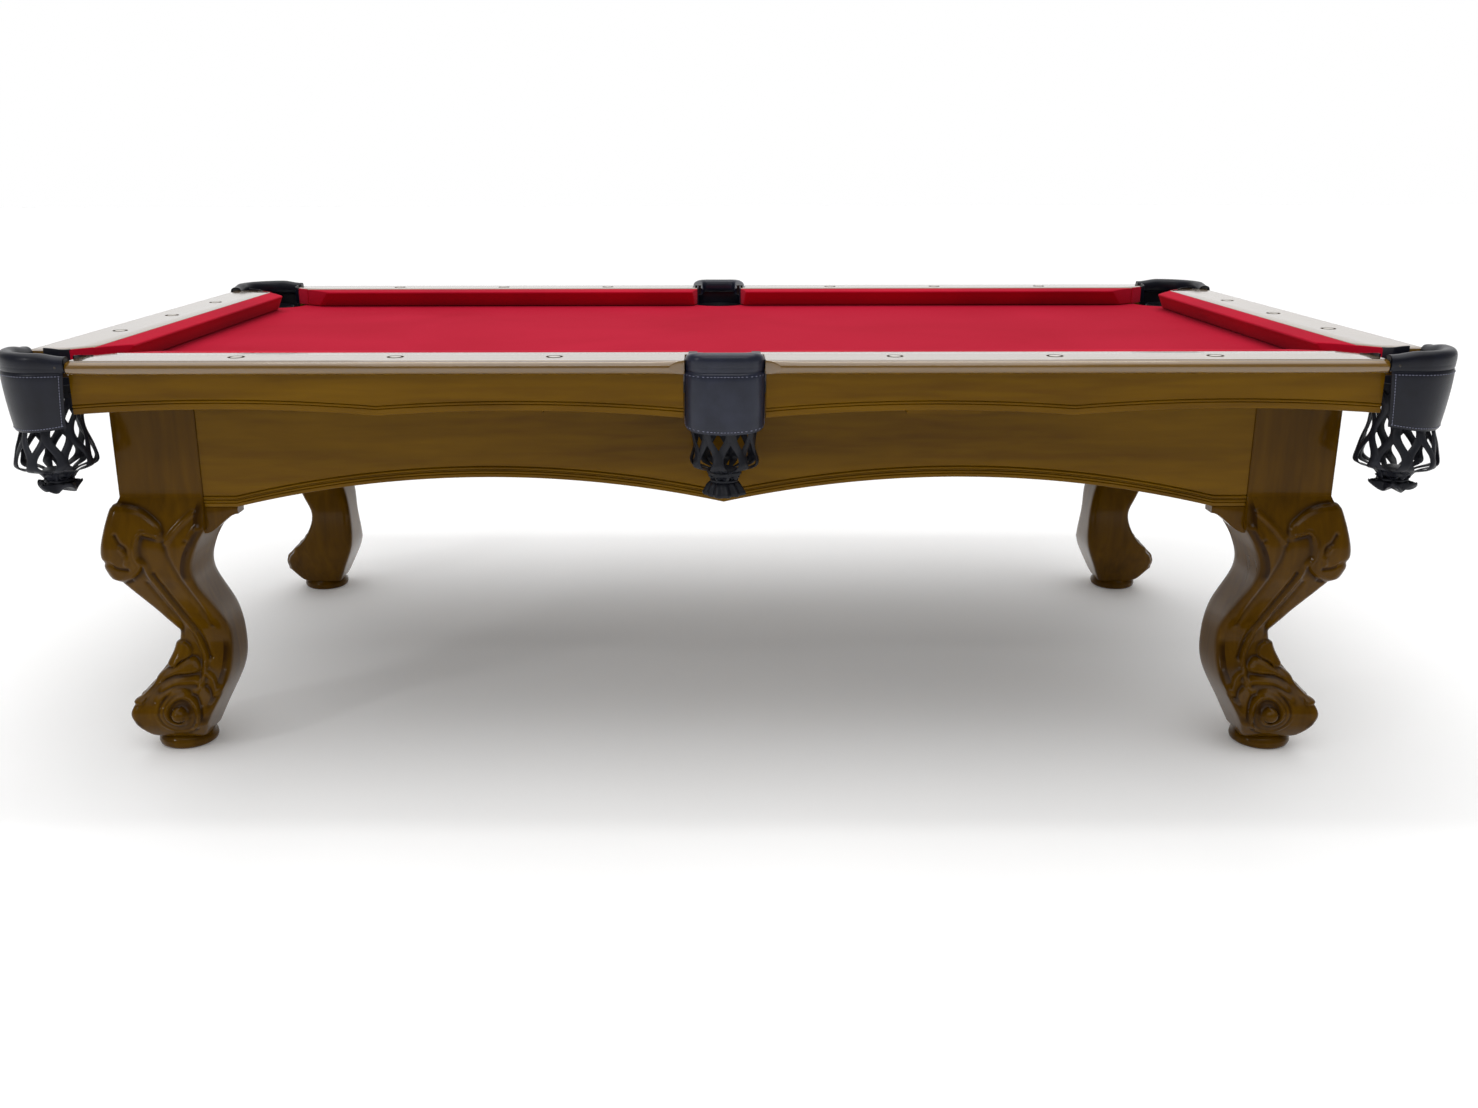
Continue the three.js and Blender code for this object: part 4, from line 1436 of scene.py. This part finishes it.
@dataclass
class Bed:
    """The cloth stretched over the slates, and what lies under it."""

    overhang: float = 76.0 * MM
    corner_setback: float = 112.5 * MM
    corner_radius: float = 68.0 * MM
    side_setback: float = 84.0 * MM
    side_radius: float = 70.0 * MM
    thickness: float = 1.0 * MM

    @property
    def hole_x(self) -> float:
        """Where the round cut at a corner has its centre, along the table."""
        return FIELD.half_length + FIELD.rail_outer - self.corner_setback

    def half_width_at(self, x: np.ndarray) -> np.ndarray:
        """Half the cloth's width at each x: the slate's own, less the round cuts at the pockets.

        Args:
            x: places along the table.

        Returns:
            The half widths.
        """
        full = FIELD.half_width + self.overhang
        from_hole = np.abs(x) - self.hole_x
        hole_y = FIELD.half_width + FIELD.rail_outer - self.corner_setback
        side_y = FIELD.half_width + FIELD.rail_outer - self.side_setback
        corner = hole_y - np.sqrt(np.clip(self.corner_radius**2 - from_hole**2, 0, None))
        side = side_y - np.sqrt(np.clip(self.side_radius**2 - x**2, 0, None))
        corner = np.where(np.abs(from_hole) < self.corner_radius, corner, full)
        return np.minimum(full, np.where(np.abs(x) < self.side_radius, np.minimum(side, corner), corner))

    def build(self, finishes: Finishes) -> None:
        """Makes the cloth and finishes the slates and beams.

        Args:
            finishes: the table's materials.
        """
        reach = FIELD.half_length + self.overhang
        bend = np.linspace(-np.pi / 2, np.pi / 2, 41)
        round_side = self.side_radius * np.sin(bend)
        round_corner = self.hole_x + self.corner_radius * np.sin(bend)
        round_corner = round_corner[round_corner < reach]
        x = np.concatenate([round_side, round_corner, -round_corner, np.linspace(-reach, reach, 121)])
        x = np.unique(np.round(x, 6))
        half = self.half_width_at(x)
        top = np.full(len(x), FIELD.bed_top)
        shell = Shell()
        shell.loft(x, top, top - self.thickness, (-half, half),
                   lambda s, u, z: np.stack(np.broadcast_arrays(u, s, z), axis=-1), rows=60)
        piece = shell.build("bed_cloth_stretched", [finishes.bed])
        settle(piece, "red_cloth", "bed_cloth")
        slates = [f"slate_{place}" for place in ("left", "middle", "right")]
        for node in slates:
            refinish(node, finishes.slate)
        for node in ("centre_beam", "cross_beam_left", "cross_beam_right"):
            refinish(node, finishes.timber)


def refinish(node: str, material: bpy.types.Material) -> None:
    """Gives a kept CAD node a better material.

    Args:
        node: the node's name.
        material: its new material.
    """
    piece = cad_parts[node]
    if not piece.material_slots:
        piece.data.materials.append(material)
    for slot in piece.material_slots:
        slot.material = material


# ---------------------------------------------------------------- pockets


@dataclass(frozen=True)
class Horseshoe:
    """The middle line of a pocket's rolled leather: a straight arm, a bend or two, and a straight arm."""

    knots: tuple
    turns: int
    origin: tuple
    length: float

    def at(self, s: np.ndarray) -> tuple:
        """Where the line is, and which way is outward, at each distance along it.

        Args:
            s: distances along the line.

        Returns:
            The positions and the outward directions, in plan.
        """
        fine = np.asarray(self.knots)
        steps = np.diff(fine, axis=0)
        run = np.concatenate([[0.0], np.cumsum(np.hypot(steps[:, 0], steps[:, 1]))])
        x, y = np.interp(s, run, fine[:, 0]), np.interp(s, run, fine[:, 1])
        slope = np.gradient(fine, run, axis=0)
        slope = slope / np.hypot(slope[:, 0], slope[:, 1])[:, None]
        dx, dy = np.interp(s, run, slope[:, 0]), np.interp(s, run, slope[:, 1])
        size = np.hypot(dx, dy)
        flat = np.stack([x + self.origin[0], y + self.origin[1], 0 * x], axis=-1)
        out = np.stack([dy / size, -dx / size, 0 * x], axis=-1)
        return quarter_turned(flat, self.turns), quarter_turned(out, self.turns)


def corner_line(side_x: float, side_y: float, turns: int) -> Horseshoe:
    """A corner's middle line in the front right corner's frame: along -Y's arm, round, and up X's arm.

    Args:
        side_x: where its corner stands along X.
        side_y: where its corner stands along Y.
        turns: quarter turns from the front right corner.

    Returns:
        The line.
    """
    arm, bend = 136.2 * MM, 86.0 * MM
    angle = np.linspace(-np.pi / 2, 0, 25)
    curve = np.stack([-bend + bend * np.cos(angle), bend + bend * np.sin(angle)], axis=-1)
    first = np.stack([np.linspace(-arm, -bend, 9)[:-1], np.zeros(8)], axis=-1)
    last = np.stack([np.zeros(8), np.linspace(bend, arm, 9)[1:]], axis=-1)
    knots = np.concatenate([first, curve, last])
    length = float(np.hypot(*np.diff(knots, axis=0).T).sum())
    return Horseshoe(tuple(map(tuple, knots)), turns, (side_x, side_y), length)


def side_line(turns: int) -> Horseshoe:
    """A side pocket's middle line on the front: in from one arm, round two bends, and back.

    Args:
        turns: quarter turns from the front.

    Returns:
        The line.
    """
    half, bend, front, arm = 55.5 * MM, 25.0 * MM, -721.0 * MM, -640.0 * MM
    turn = np.linspace(np.pi, 1.5 * np.pi, 15)
    left = np.stack([-half + bend + bend * np.cos(turn), front + bend + bend * np.sin(turn)], axis=-1)
    turn = turn + np.pi / 2
    right = np.stack([half - bend + bend * np.cos(turn), front + bend + bend * np.sin(turn)], axis=-1)
    first = np.stack([np.full(6, -half), np.linspace(arm, front + bend, 7)[:-1]], axis=-1)
    middle = np.stack([np.linspace(-half + bend, half - bend, 8)[1:-1], np.full(6, front)], axis=-1)
    last = np.stack([np.full(6, half), np.linspace(front + bend, arm, 7)[1:]], axis=-1)
    knots = np.concatenate([first, left, middle, right, last])
    length = float(np.hypot(*np.diff(knots, axis=0).T).sum())
    return Horseshoe(tuple(map(tuple, knots)), turns, (0.0, 0.0), length)


@dataclass
class Pocket:
    """One pocket: rolled leather, a stitched shield and a hanging net."""

    name: str
    line: Horseshoe
    shield: tuple
    slant: float
    lean: float
    net_centre: tuple
    bulge: float
    half_width: float = 14.0 * MM
    roll_bottom: float = 772.0 * MM
    shield_low: float = 664.0 * MM
    tuck: float = 14.0 * MM
    power: float = 2.6
    dome: float = 5.0 * MM
    stitch_pitch: float = 6.0 * MM
    stud_inset: float = 14.0 * MM
    belly: float = 11.0 * MM
    ear_plans: tuple = ()
    straps: int = 16
    strap_width: float = 17.0 * MM
    strap_half: float = 2.6 * MM
    strap_ends: tuple = (730.0 * MM, 570.0 * MM)
    strap_swings: float = 1.7
    strap_reach: float = 0.92
    waist: float = 57.0
    tassel_low: float = 540.0 * MM
    pleat: float = 0.10
    tongues: int = 11
    ragged: float = 0.8 * MM
    arm_drop: float = 6.0 * MM
    settling: tuple = (4.0 * MM, 52.0 * MM)

    def roll(self, shell: Shell) -> None:
        """The roll: a cushioned section carried along the line, with domed ends.

        The section is a superellipse, |n/14|^2.6 + |z/17|^2.6 = 1, in millimetres.

        Args:
            shell: the surfaces to add to.
        """
        angle = np.linspace(0, 2 * np.pi, 36, endpoint=False)
        share = 2 / self.power
        middle = (FIELD.leather_top + self.roll_bottom) / 2
        tall = (FIELD.leather_top - self.roll_bottom) / 2
        n = self.half_width * np.sign(np.cos(angle)) * np.abs(np.cos(angle)) ** share
        z = tall * np.sign(np.sin(angle)) * np.abs(np.sin(angle)) ** share
        stations = 70
        tip = np.linspace(0, np.pi / 2, 6)[:-1]
        size = np.sin(tip + np.pi / 10)
        near = self.dome * (1 - size)
        body = np.linspace(self.dome, self.line.length - self.dome, stations)
        settle_from, settle_to = self.settling
        s = np.concatenate([near, body, self.line.length - near[::-1]])
        scale = np.concatenate([size, np.ones(stations), size[::-1]])
        spot, out = self.line.at(s)
        points = spot[:, None, :] + (scale[:, None] * n)[..., None] * out[:, None, :]
        to_end = np.minimum(s, self.line.length - s)
        drop = self.arm_drop * (1 - smoothstep(settle_from, settle_to, to_end))
        points[..., 2] = middle + scale[:, None] * z * (1 - drop[:, None] / (2 * tall)) - drop[:, None] / 2
        shell.grid(points, Cap.FAN)

    def on_shield(self, t: np.ndarray, f: np.ndarray, lift: np.ndarray | float = 0.0) -> tuple:
        """A place on the shield: t runs along it and f from its top to its lower edge.

        It draws in by the slant at both sides, leans in as f to the power 1.6, and its lower edge is a
        shallow curve, lowest in the middle.

        Args:
            t: shares along it.
            f: shares down it.
            lift: how far the place stands off its outer face.

        Returns:
            The positions and outward directions.
        """
        t, f = np.broadcast_arrays(t, f)
        start, stop = self.shield[0] + self.slant * f, self.shield[1] - self.slant * f
        spot, out = self.line.at(start + (stop - start) * t)
        low = self.shield_low + self.belly * (2 * t - 1) ** 2
        top = self.roll_bottom + self.tuck
        n = self.half_width - 0.6 * MM - self.lean * f**1.6 + lift
        place = spot + n[..., None] * out
        place[..., 2] = top + (low - top) * f
        return place, out

    def shield_wall_at(self, shell: Shell) -> None:
        """The shield: a thin wall under the roll, with a seam's groove and a padded hem.

        Args:
            shell: the surfaces to add to.
        """
        f_out = np.array([0.0, 0.06, 0.10, 0.115, 0.13, 0.16, 0.25, 0.4, 0.55, 0.7, 0.85, 0.94, 0.985, 1.0])
        lift_out = np.array([0.0, 0.0, -0.4, -1.9, -0.4, 0.5, 1.0, 1.2, 1.2, 1.1, 0.9, 0.9, 0.2, -1.2]) * MM
        f_in = np.array([1.0, 0.985, 0.8, 0.5, 0.2, 0.0])
        lift_in = np.array([-3.8, -5.0, -5.0, -5.0, -5.0, -5.0]) * MM
        f, lift = np.concatenate([f_out, f_in]), np.concatenate([lift_out, lift_in])
        t = np.concatenate([[0.0, 0.004], np.linspace(0.015, 0.985, 60), [0.996, 1.0]])
        edge = smoothstep(0.0, 0.02, np.minimum(t, 1 - t))
        middle = -2.2 * MM
        full = middle + (lift[None, :] - middle) * (0.25 + 0.75 * edge[:, None])
        points, _ = self.on_shield(t[:, None], f[None, :], full)
        shell.grid(points, Cap.FAN)

    def stitches(self, shell: Shell) -> None:
        """Stitches down both sides of the shield, along its seam and along its hem.

        Args:
            shell: the surfaces to add to.
        """
        down = np.linspace(0.20, 0.93, 17)
        width = self.shield[1] - self.shield[0]
        inset = self.stitch_pitch / width
        along = np.linspace(inset, 1 - inset, int(width / self.stitch_pitch))
        rows = [(np.full_like(down, inset), down), (np.full_like(down, 1 - inset), down),
                (along, np.full_like(along, 0.165)), (along, np.full_like(along, 0.955))]
        for t, f in rows:
            places, out = self.on_shield(t, f, 1.1 * MM)
            way = np.gradient(places, axis=0)
            way = way / np.linalg.norm(way, axis=1)[:, None]
            shell.grains(places, way, out, (2.2 * MM, 0.7 * MM, 0.6 * MM), mark=1)

    def studs(self, shell: Shell) -> None:
        """A small domed stud near each end of the roll, on its outer side.

        Args:
            shell: the surfaces to add to.
        """
        s = np.array([self.stud_inset, self.line.length - self.stud_inset])
        spot, out = self.line.at(s)
        spot = spot + out * (self.half_width - 0.6 * MM)
        spot[:, 2] = (FIELD.leather_top + self.roll_bottom) / 2 - 6 * MM
        along = np.stack([-out[:, 1], out[:, 0], out[:, 2]], axis=-1)
        shell.grains(spot, along, out, (2.6 * MM, 2.6 * MM, 1.4 * MM), mark=2)

    def ears(self, shell: Shell) -> None:
        """Flaps of leather over the bare ends of the rails inside the pocket.

        Each is an upright strip along the rail's end, 2.6 mm thick, that rises towards the roll.

        Args:
            shell: the surfaces to add to.
        """
        for stretch, plan, outward in self.ear_plans:
            rise = 0.8 * MM + 4.5 * MM * smoothstep(0.1, 1.0, np.linspace(0, 1, 22))
            shell.grid(upright_strip(stretch, plan, outward, FIELD.rail_top + rise), Cap.FAN)

    def net_radius(self, z: np.ndarray) -> np.ndarray:
        """The net's radius at each height, a smooth curve through its collar, waist, belly and neck.

        Args:
            z: heights.

        Returns:
            The radii.
        """
        wide = self.bulge / MM
        points = [(60, 745), (57, 715), (self.waist, 690), (self.waist + 1, 665), (wide - 8, 630),
                  (wide - 2, 604), (wide - 9, 594), (wide - 34, 586), (24, 574), (21, 566)]
        curve = smooth_curve(points, 160) * MM
        return np.interp(z, curve[::-1, 1], curve[::-1, 0])

    def lattice(self, shell: Shell) -> None:
        """The net's straps: flat strips that swing to and fro, so that neighbours meet and part in diamonds.

        A strap's angle is its own place plus or minus a sine of its way down, and its section is a flattened
        oval as wide as the strap.

        Args:
            shell: the surfaces to add to.
        """
        steps = 56
        z = np.linspace(*self.strap_ends, steps)
        r = self.net_radius(z)
        swing = np.pi / self.straps * self.strap_reach
        wave = np.sin(np.linspace(0, 2 * self.strap_swings * np.pi, steps))
        round_about = np.linspace(0, 2 * np.pi, 8, endpoint=False)
        wide = self.strap_width / 2 * np.clip(r / (58 * MM), 0.35, 1.0)
        for strap in range(self.straps):
            way = 1 if strap % 2 else -1
            angle = 2 * np.pi * strap / self.straps + way * swing * wave
            bulging = r + way * 0.8 * MM
            outward = np.stack([np.cos(angle), np.sin(angle), 0 * angle], axis=-1)
            sideways = np.stack([-np.sin(angle), np.cos(angle), 0 * angle], axis=-1)
            middle = bulging[:, None] * outward
            middle[:, 2] = z
            points = (middle[:, None, :]
                      + (wide[:, None] * np.cos(round_about))[..., None] * sideways[:, None, :]
                      + (self.strap_half * np.sin(round_about))[None, :, None] * outward[:, None, :])
            shell.grid(points + np.array([*self.net_centre, 0.0]), Cap.FAN)

    def tassel(self, shell: Shell) -> None:
        """The net's gathered end: a bound neck and a pleated flare that ends in tongues.

        Below the neck its radius is multiplied by 1 + pleat times cos(tongues times t, twisting with height).
        Its lowest edge drops by ragged times a cosine with as many turns.

        Args:
            shell: the surfaces to add to.
        """
        low, neck, twist, waver = self.tassel_low / MM, 575 * MM, 40, 0.06
        points = [(0, 592), (22, 590), (30, 583), (26, 575), (21, 568), (27, 561), (32, low + 12),
                  (35, low + 4), (29, low), (0, low + 2)]
        profile = smooth_curve(points, 60) * MM

        def pleats(angle: np.ndarray, z: np.ndarray) -> np.ndarray:
            """The factor on the radius."""
            fold = self.pleat * np.cos(self.tongues * angle + twist * z) * (z < neck)
            return 1 + fold + waver * np.cos(4 * angle + 1.0)

        def hem(angle: np.ndarray, z: np.ndarray) -> np.ndarray:
            """The drop along the lowest edge."""
            return self.ragged * np.cos(self.tongues * angle + 0.6) * (z < (low + 8) * MM)

        shell.lathe(np.clip(profile[:, 0], 0, None), profile[:, 1], self.net_centre, 88, pleats, hem)
        tie = np.linspace(0, 2 * np.pi, 12, endpoint=False)
        shell.lathe(22.5 * MM + 3.2 * MM * np.cos(tie), 568 * MM + 3.2 * MM * np.sin(tie),
                    self.net_centre, 40, closed=True)

    def collar(self, shell: Shell) -> None:
        """The band of leather that the straps hang from, open at the top.

        Args:
            shell: the surfaces to add to.
        """
        profile = np.array([(60, 745), (58.5, 735), (57.5, 722), (54.5, 722), (55.5, 735), (57, 745)]) * MM
        shell.lathe(profile[:, 0], profile[:, 1], self.net_centre, 56, closed=True)

    def build(self, finishes: Finishes) -> None:
        """Makes the pocket's leather and net, and finishes its iron.

        Args:
            finishes: the table's materials.
        """
        shell = Shell()
        self.roll(shell)
        self.shield_wall_at(shell)
        self.stitches(shell)
        self.studs(shell)
        self.ears(shell)
        # The side pockets take the lighter copy of the hide, painted light, and the corners the darker copy,
        # painted shade.
        hide = finishes.leather if self.name.endswith("middle") else finishes.corner_leather_painted_shade
        piece = shell.build(f"pocket_leather_{self.name}_stitched",
                            [hide, finishes.thread, finishes.stud], 60.0)
        settle(piece, "black_leather", f"pocket_leather_{self.name}")
        shell = Shell()
        self.collar(shell)
        self.lattice(shell)
        self.tassel(shell)
        piece = shell.build(f"pocket_net_{self.name}_strapped", [finishes.net], 60.0)
        settle(piece, "black_leather", f"pocket_net_{self.name}")
        refinish(f"pocket_iron_{self.name}", finishes.iron)


def corner_ear(stretch: Stretch, mirror: bool) -> tuple:
    """The flap over a rail's end at a corner: along its slanted jaw and on under the roll.

    Args:
        stretch: the rail's stretch.
        mirror: whether the corner is at the stretch's other end.

    Returns:
        The stretch, the flap's plan and its outward directions.
    """
    _, back, end = Rails().jaw(stretch)
    sign = -1 if mirror else 1
    depth = FIELD.cushion_depth
    bend = depth + end - back
    overlap, under_roll = 1.5 * MM, 26 * MM
    cut = Rails().facing_run - overlap
    plan = ((sign * (back + cut), depth + cut), (sign * end, bend), (sign * end, bend + under_roll))
    slant = (sign * math.sqrt(0.5), -math.sqrt(0.5))
    return stretch, plan, (slant, (sign * 0.92, -0.38), (sign * 1.0, 0.0))


def pockets() -> list:
    """The six pockets, each placed by its own middle line.

    Returns:
        The pockets.
    """
    made = []
    by_name = {stretch.name: stretch for stretch in STRETCHES}
    for name in CORNERS:
        sx, sy = corner_signs(name)
        turns = {(1, -1): 0, (1, 1): 1, (-1, 1): 2, (-1, -1): 3}[(sx, sy)]
        long = turns % 2 == 0
        across_x, across_y = 1272.5 * MM, 714.0 * MM
        origin = (across_x, -across_y) if long else (across_y, -across_x)
        line = corner_line(*origin, turns)
        margin = 1.0 * MM
        shield = (margin, line.length - margin)
        end_rail = by_name["left_end" if sx < 0 else "right_end"]
        ears = (corner_ear(by_name[name], False), corner_ear(end_rail, sx * sy < 0))
        made.append(Pocket(name, line, shield, 14 * MM, 12 * MM,
                           (sx * 1206.5 * MM, sy * 648.0 * MM), 70 * MM, waist=51.0,
                           tassel_low=553 * MM, pleat=0.17, tongues=5, ragged=6 * MM, ear_plans=ears))
    for name, turns in (("front_middle", 0), ("back_middle", 2)):
        line = side_line(turns)
        sy = -1 if turns == 0 else 1
        hidden = 50 * MM
        shield = (hidden, line.length - hidden)
        cheek = 57.5 * MM
        plan = ((cheek, 51 * MM), (cheek, 66 * MM), (cheek, 84 * MM))
        place = "front" if turns == 0 else "back"
        facing = ((-1.0, 0.0),) * len(plan)
        ears = tuple((by_name[f"{place}_{hand}"], plan, facing) for hand in ("left", "right"))
        made.append(Pocket(name, line, shield, 0.0, 0.5 * MM, (0.0, sy * 651.0 * MM), 62 * MM,
                           arm_drop=15 * MM, settling=(2.0 * MM, 84.0 * MM), ear_plans=ears))
    return made


# ---------------------------------------------------------------- studio


@dataclass
class Studio:
    """A plain pale floor, soft light and the camera."""

    eye: tuple = (-0.0288, -3.0540, 1.1289)
    pitch: float = math.radians(16.277)
    yaw: float = math.radians(-0.409)
    roll: float = math.radians(-0.147)
    lens: float = 33.19
    shift: float = 0.0271
    floor_half: float = 30.0
    dim: float = 0.22
    bright: float = 0.92
    ceiling: float = 1.7
    depth_span: tuple = (0.42, 0.85)
    zenith_span: tuple = (0.62, 0.88)
    sensor: float = 36.0
    far: float = 100.0
    lights: tuple = (
        ("overhead", (0.0, -0.2, 3.2), (0.0, 0.0, 0.7), (3.2, 0.22), 14.0),
        ("front_strip", (0.0, -2.7, 2.5), (0.0, -0.7, 0.5), (2.6, 0.22), 8.0),
        ("left_window", (-3.6, -3.0, 2.2), (-0.4, -0.6, 0.5), (0.45, 0.45), 14.0),
    )

    def camera(self) -> None:
        """Stands the camera at its eye, looking down by the pitch."""
        cp, sp = math.cos(self.pitch), math.sin(self.pitch)
        forward = np.array([math.sin(self.yaw) * cp, math.cos(self.yaw) * cp, -sp])
        right = np.array([math.cos(self.yaw), -math.sin(self.yaw), 0.0])
        up = np.cross(right, forward)
        turned_right = right * math.cos(self.roll) + up * math.sin(self.roll)
        turned_up = up * math.cos(self.roll) - right * math.sin(self.roll)
        lens = bpy.data.cameras.new("camera")
        lens.lens = self.lens
        lens.sensor_width = self.sensor
        lens.sensor_fit = "HORIZONTAL"
        lens.shift_x = self.shift
        lens.clip_end = self.far
        camera = bpy.data.objects.new("camera", lens)
        bpy.context.scene.collection.objects.link(camera)
        pose = np.eye(4)
        pose[:3, 0], pose[:3, 1], pose[:3, 2], pose[:3, 3] = turned_right, turned_up, -forward, self.eye
        camera.matrix_world = Matrix(pose.tolist())
        bpy.context.scene.camera = camera

    def floor(self) -> None:
        """Lays the floor."""
        half = self.floor_half
        mesh = bpy.data.meshes.new("floor")
        corners = [(-half, -half, 0), (half, -half, 0), (half, half, 0), (-half, half, 0)]
        mesh.from_pydata(corners, [], [(0, 1, 2, 3)])
        pale = Plain("floor_white", (0.90, 0.90, 0.90), (0.92, 0.92, 0.92), 2.0, 0.9, glow=0.10)
        mesh.materials.append(pale.build())
        floor = bpy.data.objects.new("floor", mesh)
        bpy.context.scene.collection.objects.link(floor)

    def light(self, name: str, place: tuple, target: tuple, size: tuple, power: float) -> None:
        """Hangs one soft light that looks at a target.

        Args:
            name: its name.
            place: where it hangs.
            target: what it looks at.
            size: its width and height.
            power: its power in watts.
        """
        data = bpy.data.lights.new(name, "AREA")
        data.shape = "RECTANGLE"
        data.size, data.size_y = size
        data.energy = power
        lamp = bpy.data.objects.new(name, data)
        bpy.context.scene.collection.objects.link(lamp)
        away = np.array(place, dtype=float) - np.array(target, dtype=float)
        back = away / np.linalg.norm(away)
        side = np.cross([0.0, 1.0, 0.0] if abs(back[2]) > 0.99 else [0.0, 0.0, 1.0], back)
        side = side / np.linalg.norm(side)
        pose = np.eye(4)
        pose[:3, 0], pose[:3, 1], pose[:3, 2], pose[:3, 3] = side, np.cross(back, side), back, place
        lamp.matrix_world = Matrix(pose.tolist())

    def sky(self) -> None:
        """A white surround that the camera sees as plain white, and the table as unevenly bright.

        It goes from dim to bright over a span of depth towards the back, and gains the ceiling's strength
        over a span of height towards the zenith.
        """
        world = bpy.data.worlds.new("surround")
        bpy.context.scene.world = world
        world.use_nodes = True
        tree = world.node_tree
        tree.nodes.clear()
        coordinates = tree.nodes.new("ShaderNodeTexCoord")
        parts = tree.nodes.new("ShaderNodeSeparateXYZ")
        tree.links.new(coordinates.outputs["Generated"], parts.inputs[0])

        def spread(part: str, span: tuple, low: float, high: float) -> bpy.types.NodeSocket:
            """Spreads one coordinate's way through a span from low to high."""
            node = tree.nodes.new("ShaderNodeMapRange")
            values = {"From Min": span[0], "From Max": span[1], "To Min": low, "To Max": high}
            for key, value in values.items():
                node.inputs[key].default_value = value
            tree.links.new(parts.outputs[part], node.inputs["Value"])
            return node.outputs[0]

        depth = spread("Y", self.depth_span, self.dim, self.bright)
        zenith = spread("Z", self.zenith_span, 0.0, self.ceiling)
        total = tree.nodes.new("ShaderNodeMath")
        total.operation = "ADD"
        tree.links.new(depth, total.inputs[0])
        tree.links.new(zenith, total.inputs[1])
        lit = tree.nodes.new("ShaderNodeBackground")
        tree.links.new(total.outputs[0], lit.inputs["Strength"])
        plain = tree.nodes.new("ShaderNodeBackground")
        plain.inputs["Strength"].default_value = 1.0
        for node in (lit, plain):
            node.inputs["Color"].default_value = (1.0, 1.0, 1.0, 1.0)
        path = tree.nodes.new("ShaderNodeLightPath")
        mix = tree.nodes.new("ShaderNodeMixShader")
        tree.links.new(path.outputs["Is Camera Ray"], mix.inputs["Fac"])
        tree.links.new(lit.outputs[0], mix.inputs[1])
        tree.links.new(plain.outputs[0], mix.inputs[2])
        output = tree.nodes.new("ShaderNodeOutputWorld")
        tree.links.new(mix.outputs[0], output.inputs["Surface"])

    def build(self) -> None:
        """Sets up the whole studio."""
        self.camera()
        self.floor()
        self.sky()
        for lamp in self.lights:
            self.light(*lamp)
        bpy.context.scene.view_settings.view_transform = "Standard"


def main() -> None:
    """Builds the studio and the table, sub-assembly by sub-assembly."""
    logging.basicConfig(level=logging.INFO, format="%(name)s: %(message)s")
    Studio().build()
    finishes = Finishes()
    Legs().build(finishes)
    Cabinet().build(finishes)
    Bed().build(finishes)
    Rails().build(finishes)
    for pocket in pockets():
        pocket.build(finishes)


if __name__ == "__main__":
    main()
